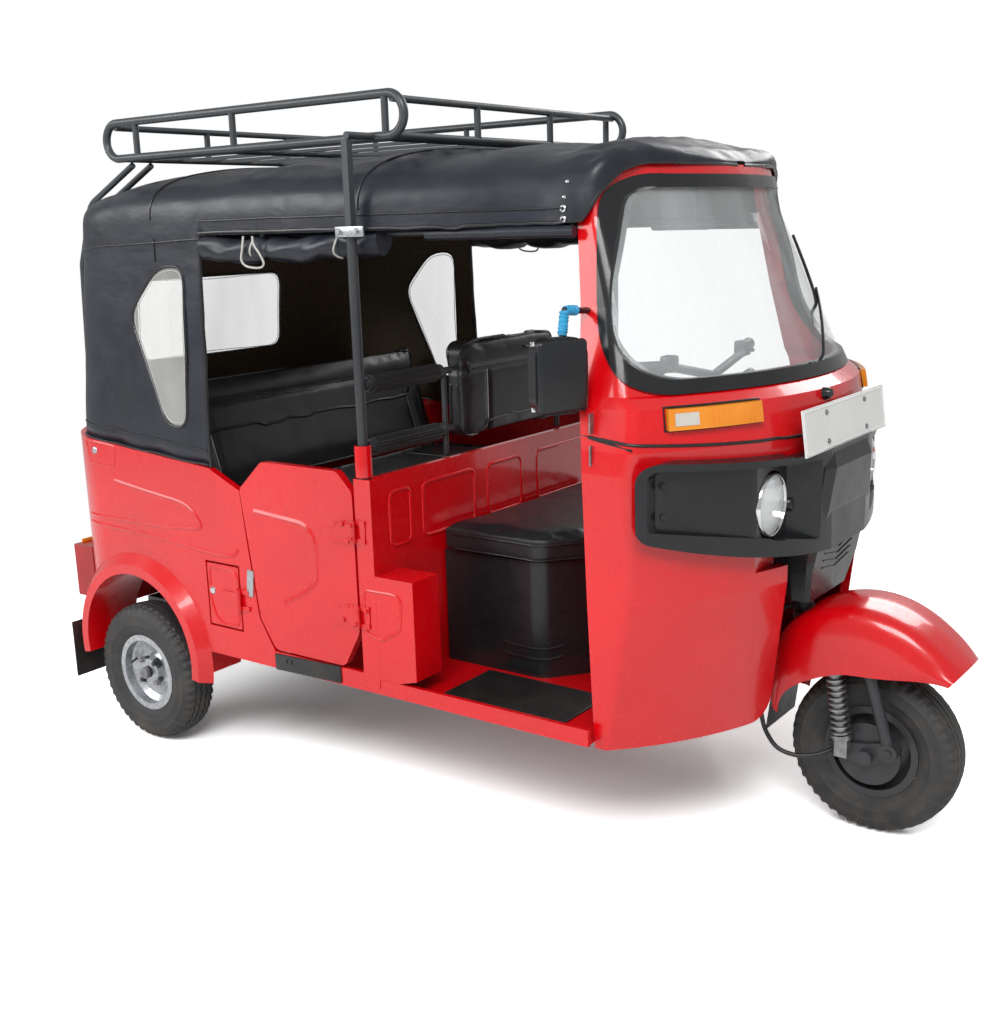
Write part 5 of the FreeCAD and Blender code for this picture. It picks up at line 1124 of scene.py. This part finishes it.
def from_side(tree, side, x, z):
    """Where a line from beside the vehicle meets a piece."""
    return cast(tree, (x, side * OUTSIDE, z), (0, -side, 0))[0]


def side_line(bm, tree, side, corners, round_by, girth, lift, closed=True, material=0):
    """A line on one side of the vehicle, drawn in (x, z) millimetres."""
    spots = [(x / 1000, z / 1000) for x, z in corners]
    if closed:
        flat = spread(rounded(spots, round_by), 0.014, True)
    else:
        bends = rounded(spots, round_by)
        flat = spread([Vector(spots[0])] + bends[5:-5] + [Vector(spots[-1])], 0.014)
    starts = [(p[0], side * OUTSIDE, p[1]) for p in flat]
    add_tube(bm, traced(tree, starts, (0, -side, 0), lift), girth, closed=closed, sides=2, material=material)


DOOR_BEAD = [(-410, 760), (-304, 752), (-224, 746), (-190, 712), (-190, 597), (-236, 562), (-316, 521)]
UPPER_SWAGE = [(-987, 789), (-860, 773), (-693, 754), (-652, 733), (-613, 687), (-782, 673),
               (-1129, 673)]
LOWER_SWAGE = [(-1133, 649), (-787, 638), (-570, 620), (-498, 625), (-484, 643)]
LID_BEAD = [(-599, 583), (-516, 583), (-494, 572), (-499, 436), (-509, 424), (-566, 424), (-590, 440),
            (-606, 486), (-606, 570)]
FLAP = [(-1114, 901), (-973, 890), (-983, 827), (-1092, 834)]
LEDGE = [(-32, 600), (71, 602), (91, 589), (82, 510), (20, 475), (-30, 490)]
FLAP_LOCK = [(0, 0.004), (0.007, 0.004), (0.010, 0.002), (0.011, 0)]
LID_LOCK = [(0, 0.003), (0.004, 0.003), (0.0045, 0.005), (0.009, 0.004), (0.0105, 0)]
panel_tree = surface_tree(nodes["side_panels"])
post_tree = surface_tree(nodes["door_posts"])
lid_tree = surface_tree(nodes["fuel_lid"])
DOOR_BOLTS = [(-88, 764), (-102, 732), (-85, 549), (-101, 513)]
POST_BOLTS = [(-22, 761), (-23, 733), (-22, 546), (-23, 516)]
DOOR_PADS = [[(-137, 714), (-138, 725), (-108, 766), (-68, 774), (-70, 714)],
             [(-139, 492), (-138, 507), (-103, 551), (-66, 557), (-68, 494)]]
POST_PADS = [[(-31, 773), (-13, 774), (-16, 725), (-31, 721)],
             [(-31, 555), (-12, 559), (-15, 508), (-31, 504)]]
body_beads, body_bolts = bmesh.new(), bmesh.new()


def raised_plate(bm, tree, side, corners, thick):
    """A thin plate with round corners, set on a panel."""
    part = bmesh.new()
    flat = rounded([(x / 1000, z / 1000) for x, z in corners], 0.007)
    ring = [part.verts.new(from_side(tree, side, x, z)) for x, z in flat]
    base = bmesh.ops.contextual_create(part, geom=ring)["faces"]
    top = bmesh.ops.extrude_face_region(part, geom=base)["geom"]
    moved = [v for v in top if isinstance(v, bmesh.types.BMVert)]
    bmesh.ops.translate(part, verts=moved, vec=(0, side * thick, 0))
    bmesh.ops.recalc_face_normals(part, faces=part.faces)
    stamp(bm, part)


bracket_tree = surface_tree(nodes["hinge_brackets"])
for side, name in ((-1, "door_right"), (1, "door_left")):
    door_tree = surface_tree(nodes[name])
    beads = bmesh.new()
    side_line(beads, door_tree, side, DOOR_BEAD, 0.030, 0.010, -0.0068, closed=False)
    finished(name + "_bead", beads, red_paint, name)
    bolts = bmesh.new()
    for corners in DOOR_PADS:
        raised_plate(bolts, door_tree, side, corners, 0.004)
    for corners in POST_PADS:
        raised_plate(body_bolts, post_tree, side, corners, 0.003)
    for x, z in DOOR_BOLTS:
        spot = from_side(door_tree, side, x / 1000, z / 1000)
        stamp(bolts, bolt(0.0062, 0.005), facing(spot, (0, side, 0), x))  # each at its own turn
    finished(name + "_hinge_bolts", bolts, red_paint, name)
    for x, z in POST_BOLTS:
        spots = [from_side(tree, side, x / 1000, z / 1000) for tree in (bracket_tree, post_tree)]
        outer = max(spots, key=lambda p: p.y * side)
        stamp(body_bolts, bolt(0.0050, 0.004), facing(outer, (0, side, 0), x))
    for swage, round_by in ((UPPER_SWAGE, 0.035), (LOWER_SWAGE, 0.030)):
        side_line(body_beads, panel_tree, side, swage, round_by, 0.0065, -0.003, closed=False)
    side_line(body_beads, panel_tree, side, FLAP, 0.012, 0.0032, -0.0014)
    side_line(body_beads, post_tree, side, LEDGE, 0.014, 0.0050, -0.002)
    spot = from_side(panel_tree, side, -1.068, 0.871)
    stamp(body_bolts, lathed(FLAP_LOCK, 28), facing(spot, (0, side, 0)), 1)
    spot = from_side(panel_tree, side, -0.4425, 0.557)
    latch = facing(spot + Vector((0, side * 0.0015, 0)), (0, side, 0), 0.12 * side)
    stamp(body_bolts, block((0.024, 0.074, 0.004), 0.001), latch, 1)
finished("side_beads", body_beads, red_paint)
finished("side_fastenings", body_bolts, [red_paint, galvanised])
lid_bead = bmesh.new()
side_line(lid_bead, lid_tree, -1, LID_BEAD, 0.014, 0.0045, -0.002)
finished("fuel_lid_bead", lid_bead, red_paint, "fuel_lid")
lock = bmesh.new()
spot = from_side(lid_tree, -1, -0.596, 0.515)
stamp(lock, lathed(LID_LOCK, 28), facing(spot, (0, -1, 0)))
finished("fuel_lid_lock", lock, chrome, "fuel_lid")

# %% [markdown]
# ## Rubber, mats and covers
# Rubber and black plastic break up the red: the strip in the cab's waist seam, the ribbed
# mats in the footwell, the cover under each door and the fluted sleeves on the grab bars.
# Ribs are real shapes, since they show against the light.

# %% Seam strip, mats, sill covers and sleeves
trim = bmesh.new()
waist = []
for k in range(-51, 52):
    ahead = on_cab("lower_cowl", k, 1.000, 0.0).x
    z = 1.030 - 0.034 * (ahead - 0.608) / 0.337
    waist.append(on_cab("lower_cowl", k, z - 0.006, 0.0) + Vector((0, 0, 0.006)))
add_tube(trim, waist, 0.0036)
MAT_Z, RIB_Z = 0.3465, 0.3495
sill_tree = surface_tree(nodes["door_sills"])
for side in (-1, 1):
    spot = from_side(sill_tree, side, -0.244, 0.352)
    tilted = at(spot.x, spot.y + side * 0.001, spot.z + 0.002) @ Matrix.Rotation(-0.03, 4, "Y")
    stamp(trim, block((0.240, 0.010, 0.046), 0.004), tilted)
    for x in (-0.318, -0.300):
        clip = block((0.002, 0.004, 0.014), 0.0005)
        stamp(trim, clip, at(spot.x + x + 0.244, spot.y + side * 0.006, spot.z + 0.008))
    stamp(trim, block((0.36, 0.205, 0.004), 0.0015), at(0.345, side * 0.470, MAT_Z))
    for k in range(44):
        stamp(trim, block((0.0030, 0.196, 0.0026), 0.0008, 1), at(0.172 + k * 0.008, side * 0.470, RIB_Z))
stamp(trim, block((0.075, 0.86, 0.004), 0.0015), at(0.563, 0, MAT_Z))
for k in range(9):
    stamp(trim, block((0.0030, 0.85, 0.0026), 0.0008, 1), at(0.531 + k * 0.008, 0, RIB_Z))
finished("rubber_trim", trim, black_rubber)

sleeves = bmesh.new()
for side in (-1, 1):
    for z in (1.110, 0.955):
        tube = bmesh.new()
        bmesh.ops.create_cone(tube, cap_ends=True, segments=72, radius1=0.0235, radius2=0.0235, depth=0.250)
        bmesh.ops.inset_region(tube, faces=[f for f in tube.faces if len(f.verts) > 4], thickness=0.004)
        for vert in tube.verts:
            step = round(atan2(vert.co.y, vert.co.x) / tau * 72)
            if step % 4 < 2:
                vert.co.x, vert.co.y = vert.co.x * 0.90, vert.co.y * 0.90
        stamp(sleeves, tube, facing((-0.0275, side * 0.435, z), (0, 1, 0)))
    socket = [(0.0178, 0.0), (0.0215, 0.0), (0.0215, 0.074), (0.0205, 0.078), (0.0178, 0.078)]
    stamp(sleeves, lathed(socket, 40), at(-0.0265, side * 0.600, 0.886), 1)
finished("grab_sleeves", sleeves, [black_rubber, red_paint])

# %% [markdown]
# ## Small fittings
# The mirrors are black shells with a glass at the back, on stalks bound with blue tape.
# The wiper lies on the glass, bolts hold the lamp moulding, and the front plate has a
# raised rim. Each is a few stamped shapes or tubes, since they are small in the picture.

# %% Mirrors, wiper, fascia and front plate
fittings = bmesh.new()
STALK = [(0.567, 0.556, 1.2965), (0.565, 0.585, 1.2985), (0.565, 0.596, 1.293), (0.565, 0.600, 1.268),
         (0.565, 0.605, 1.247)]
tapes = bmesh.new()
for side in (-1, 1):
    stalk = [(x, side * y, z) for x, y, z in STALK]
    add_tube(tapes, stalk, 0.0098, sides=4)
    winds = spread(stalk, 0.0065)
    for i in range(len(winds) - 1):
        wind = lathed([(0.0094, -0.0024), (0.0113, -0.0008), (0.0108, 0.0014), (0.0094, 0.0024)], 20)
        lean = Vector((0.25 * sin(i * 2.1), 0.2 * cos(i * 1.7), 0))
        stamp(tapes, wind, facing(winds[i], winds[i + 1] - winds[i] + lean * 0.006))
    head = at(0.553, side * 0.618, 1.1635) @ Matrix.Rotation(side * radians(26), 4, "Z")
    stamp(tapes, block((0.022, 0.122, 0.155), 0.0105, 4), head @ at(0.030, 0, 0), 1)
    stamp(tapes, block((0.003, 0.116, 0.149), 0.001), head @ at(-0.0008, 0, 0), 2)
finished("mirror_shells", tapes, [blue_tape, black_plastic, chrome])
screen_tree = cowl_trees["windscreen_glass"]
WIPER_ARM = [(0.935, -0.075, 1.078), (0.864, 0.068, 1.186), (0.783, 0.214, 1.296)]
WIPER_BLADE = [(0.830, 0.125, 1.225), (0.783, 0.214, 1.296), (0.691, 0.298, 1.429)]
add_tube(fittings, laid_on(screen_tree, spread(WIPER_ARM, 0.03), 0.014), 0.0038)
add_tube(fittings, laid_on(screen_tree, spread(WIPER_BLADE, 0.02), 0.006), 0.0042)
spot = on_cab("upper_cowl", -5.0, 1.078, 0.0)
pivot = lathed([(0, 0.020), (0.009, 0.019), (0.013, 0.012), (0.015, 0.0)], 24)
stamp(fittings, pivot, facing(spot, (1, -0.1, 0.2)))
fascia_tree = cowl_trees["headlamp_fascia"]
for side in (-1, 1):
    for z in (0.930, 0.862):
        spot, normal = cast(fascia_tree, (0.772, side * 0.9, z), (0, -side, 0))
        stamp(fittings, bolt(0.008, 0.006), facing(spot, normal))
    for z in (1.060, 0.990):
        stamp(fittings, block((0.004, 0.016, 0.044), 0.001), at(0.6225, side * 0.586, z), 1)
for k in range(4):
    for side in (-1, 1):
        line = spread([(1.2, side * 0.004, 0.650 + k * 0.017), (1.2, side * 0.085, 0.664 + k * 0.018)], 0.02)
        add_tube(fittings, traced(fascia_tree, line, BACKWARDS, 0.0002), 0.0022)
plate_tree = surface_tree(nodes["number_plates"])
edge = [(1.3, y, z) for y, z in frame_line((-0.243, 0.966), (0.243, 1.052), -0.004, 0.008)]
add_tube(fittings, traced(plate_tree, edge, BACKWARDS, 0.0), 0.0014, closed=True, material=2)
for y in (-0.12, 0.12):
    for z in (0.976, 1.042):
        spot, _ = cast(plate_tree, (1.3, y, z), BACKWARDS)
        stamp(fittings, bolt(0.005, 0.004), facing(spot, (1, 0, 0)), 1)
finished("cab_fittings", fittings, [seal_rubber, worn_steel, white_plate])

# %% [markdown]
# The partition is a plain sheet with four pressed frames, and the driver's seat box has
# pairs of fine ribs that dip in the middle. Both are tubes half sunk in the sheet, cast
# on like the beads of the doors.

# %% Partition pressings and seat box ribs
partition_tree = surface_tree(nodes["partition"])
pressings = bmesh.new()
for a, b in ((-0.55, -0.47), (-0.42, -0.20), (-0.14, 0.02), (0.10, 0.36)):
    corners = rounded([(a, 0.700), (a, 0.840), (b, 0.840), (b, 0.700)], 0.022)
    line = [(0.3, p[0], p[1]) for p in spread(corners, 0.02, True)]
    add_tube(pressings, traced(partition_tree, line, BACKWARDS, -0.003), 0.006, closed=True, sides=2)
finished("partition_pressings", pressings, red_paint)

seat_front = bmesh.new()
box_tree = surface_tree(nodes["seat_box"])
DIP = 0.006
for z in (0.400, 0.428):
    bends = [(-0.255, z), (-0.235, z - DIP), (-0.06, z - DIP), (-0.04, z)]
    line = spread([(0.9, y, height) for y, height in bends], 0.02)
    add_tube(seat_front, traced(box_tree, line, BACKWARDS, 0.0), 0.004)
    for side in (-1, 1):
        bends = [(0.20, z), (0.22, z - DIP), (0.33, z - DIP), (0.35, z)]
        line = spread([(x, side * 0.9, height) for x, height in bends], 0.02)
        add_tube(seat_front, traced(box_tree, line, (0, -side, 0), 0.0), 0.004)
finished("seat_box_ribs", seat_front, black_plastic)

# %% [markdown]
# ## Behind, below and above
# Bolts hold the rack's legs to the poles, the mud flaps are ribbed, the handlebar has
# its levers, and the dash a round gauge. The levers ride with the steering, and the
# gauge stays with the body.

# %% Rack clamps, flaps and controls
rear = bmesh.new()
for side in (-1, 1):
    stamp(rear, block((0.088, 0.005, 0.024), 0.001), at(-0.014, side * 0.6185, 1.474))
    for x in (-0.046, 0.010):
        stamp(rear, bolt(0.0068, 0.006), facing((x, side * 0.621, 1.474), (0, side, 0)))
    for k in range(8):
        rib = block((0.004, 0.118, 0.006), 0.001, 1)
        stamp(rear, rib, at(-1.2175, side * 0.595, 0.180 + k * 0.018), 1)
finished("clamps_and_flap_ribs", rear, [galvanised, black_rubber])

controls = bmesh.new()
for side in (-1, 1):
    lever = [(0.606, 0.205, 1.146), (0.618, 0.222, 1.138), (0.604, 0.262, 1.134), (0.588, 0.296, 1.132)]
    add_tube(controls, [(x, side * y, z) for x, y, z in lever], 0.0046)
    stamp(controls, block((0.034, 0.040, 0.040), 0.006), at(0.602, side * 0.200, 1.146))
finished("handlebar_levers", controls, black_plastic, "steering")
GAUGE_CASE = [(0, -0.030), (0.040, -0.030), (0.050, -0.006), (0.050, 0.004), (0.045, 0.006), (0.042, 0.0),
              (0, 0.0)]
gauge = bmesh.new()
dial = facing((0.690, 0.0, 1.078), (-0.80, 0, 0.60))
stamp(gauge, lathed(GAUGE_CASE, 48), dial)
stamp(gauge, lathed([(0, 0.0012), (0.041, 0.0012), (0.041, 0.0006)], 48), dial, 1)
stamp(gauge, block((0.002, 0.030, 0.0015), 0.0004), dial @ at(0, 0.012, 0.0028))
for k in range(9):
    mark = dial @ Matrix.Rotation(radians(-120 + k * 30), 4, "Z") @ at(0, 0.035, 0.0020)
    stamp(gauge, block((0.0015, 0.006, 0.0006), 0.0002, 1), mark)
finished("dash_gauge", gauge, [black_plastic, white_plate])

# %% [markdown]
# Each tail lamp has three lenses in one housing, amber over red over clear. A lens is a
# thin block set on the housing, with five fine ribs, which break up the light.

# %% Tail lamp lenses
tail_lines = bmesh.new()
tail_tree = surface_tree(nodes["tail_lamps"])
for side in (-1, 1):
    for z, high, tint in ((0.515, 0.040, 0), (0.466, 0.046, 1), (0.417, 0.040, 2)):
        spot, normal = cast(tail_tree, (-1.6, side * 0.520, z), (1, 0, 0))
        stamp(tail_lines, block((high, 0.084, 0.005), 0.0018), facing(spot, normal), tint)
        for k in range(5):
            rib = block((high * 0.9, 0.0022, 0.0030), 0.0006, 1)
            stamp(tail_lines, rib, facing(spot, normal) @ at(0, -0.032 + k * 0.016, 0.0028), tint)
finished("tail_lamp_lenses", tail_lines, [amber_lens, red_lens, clear_lens])
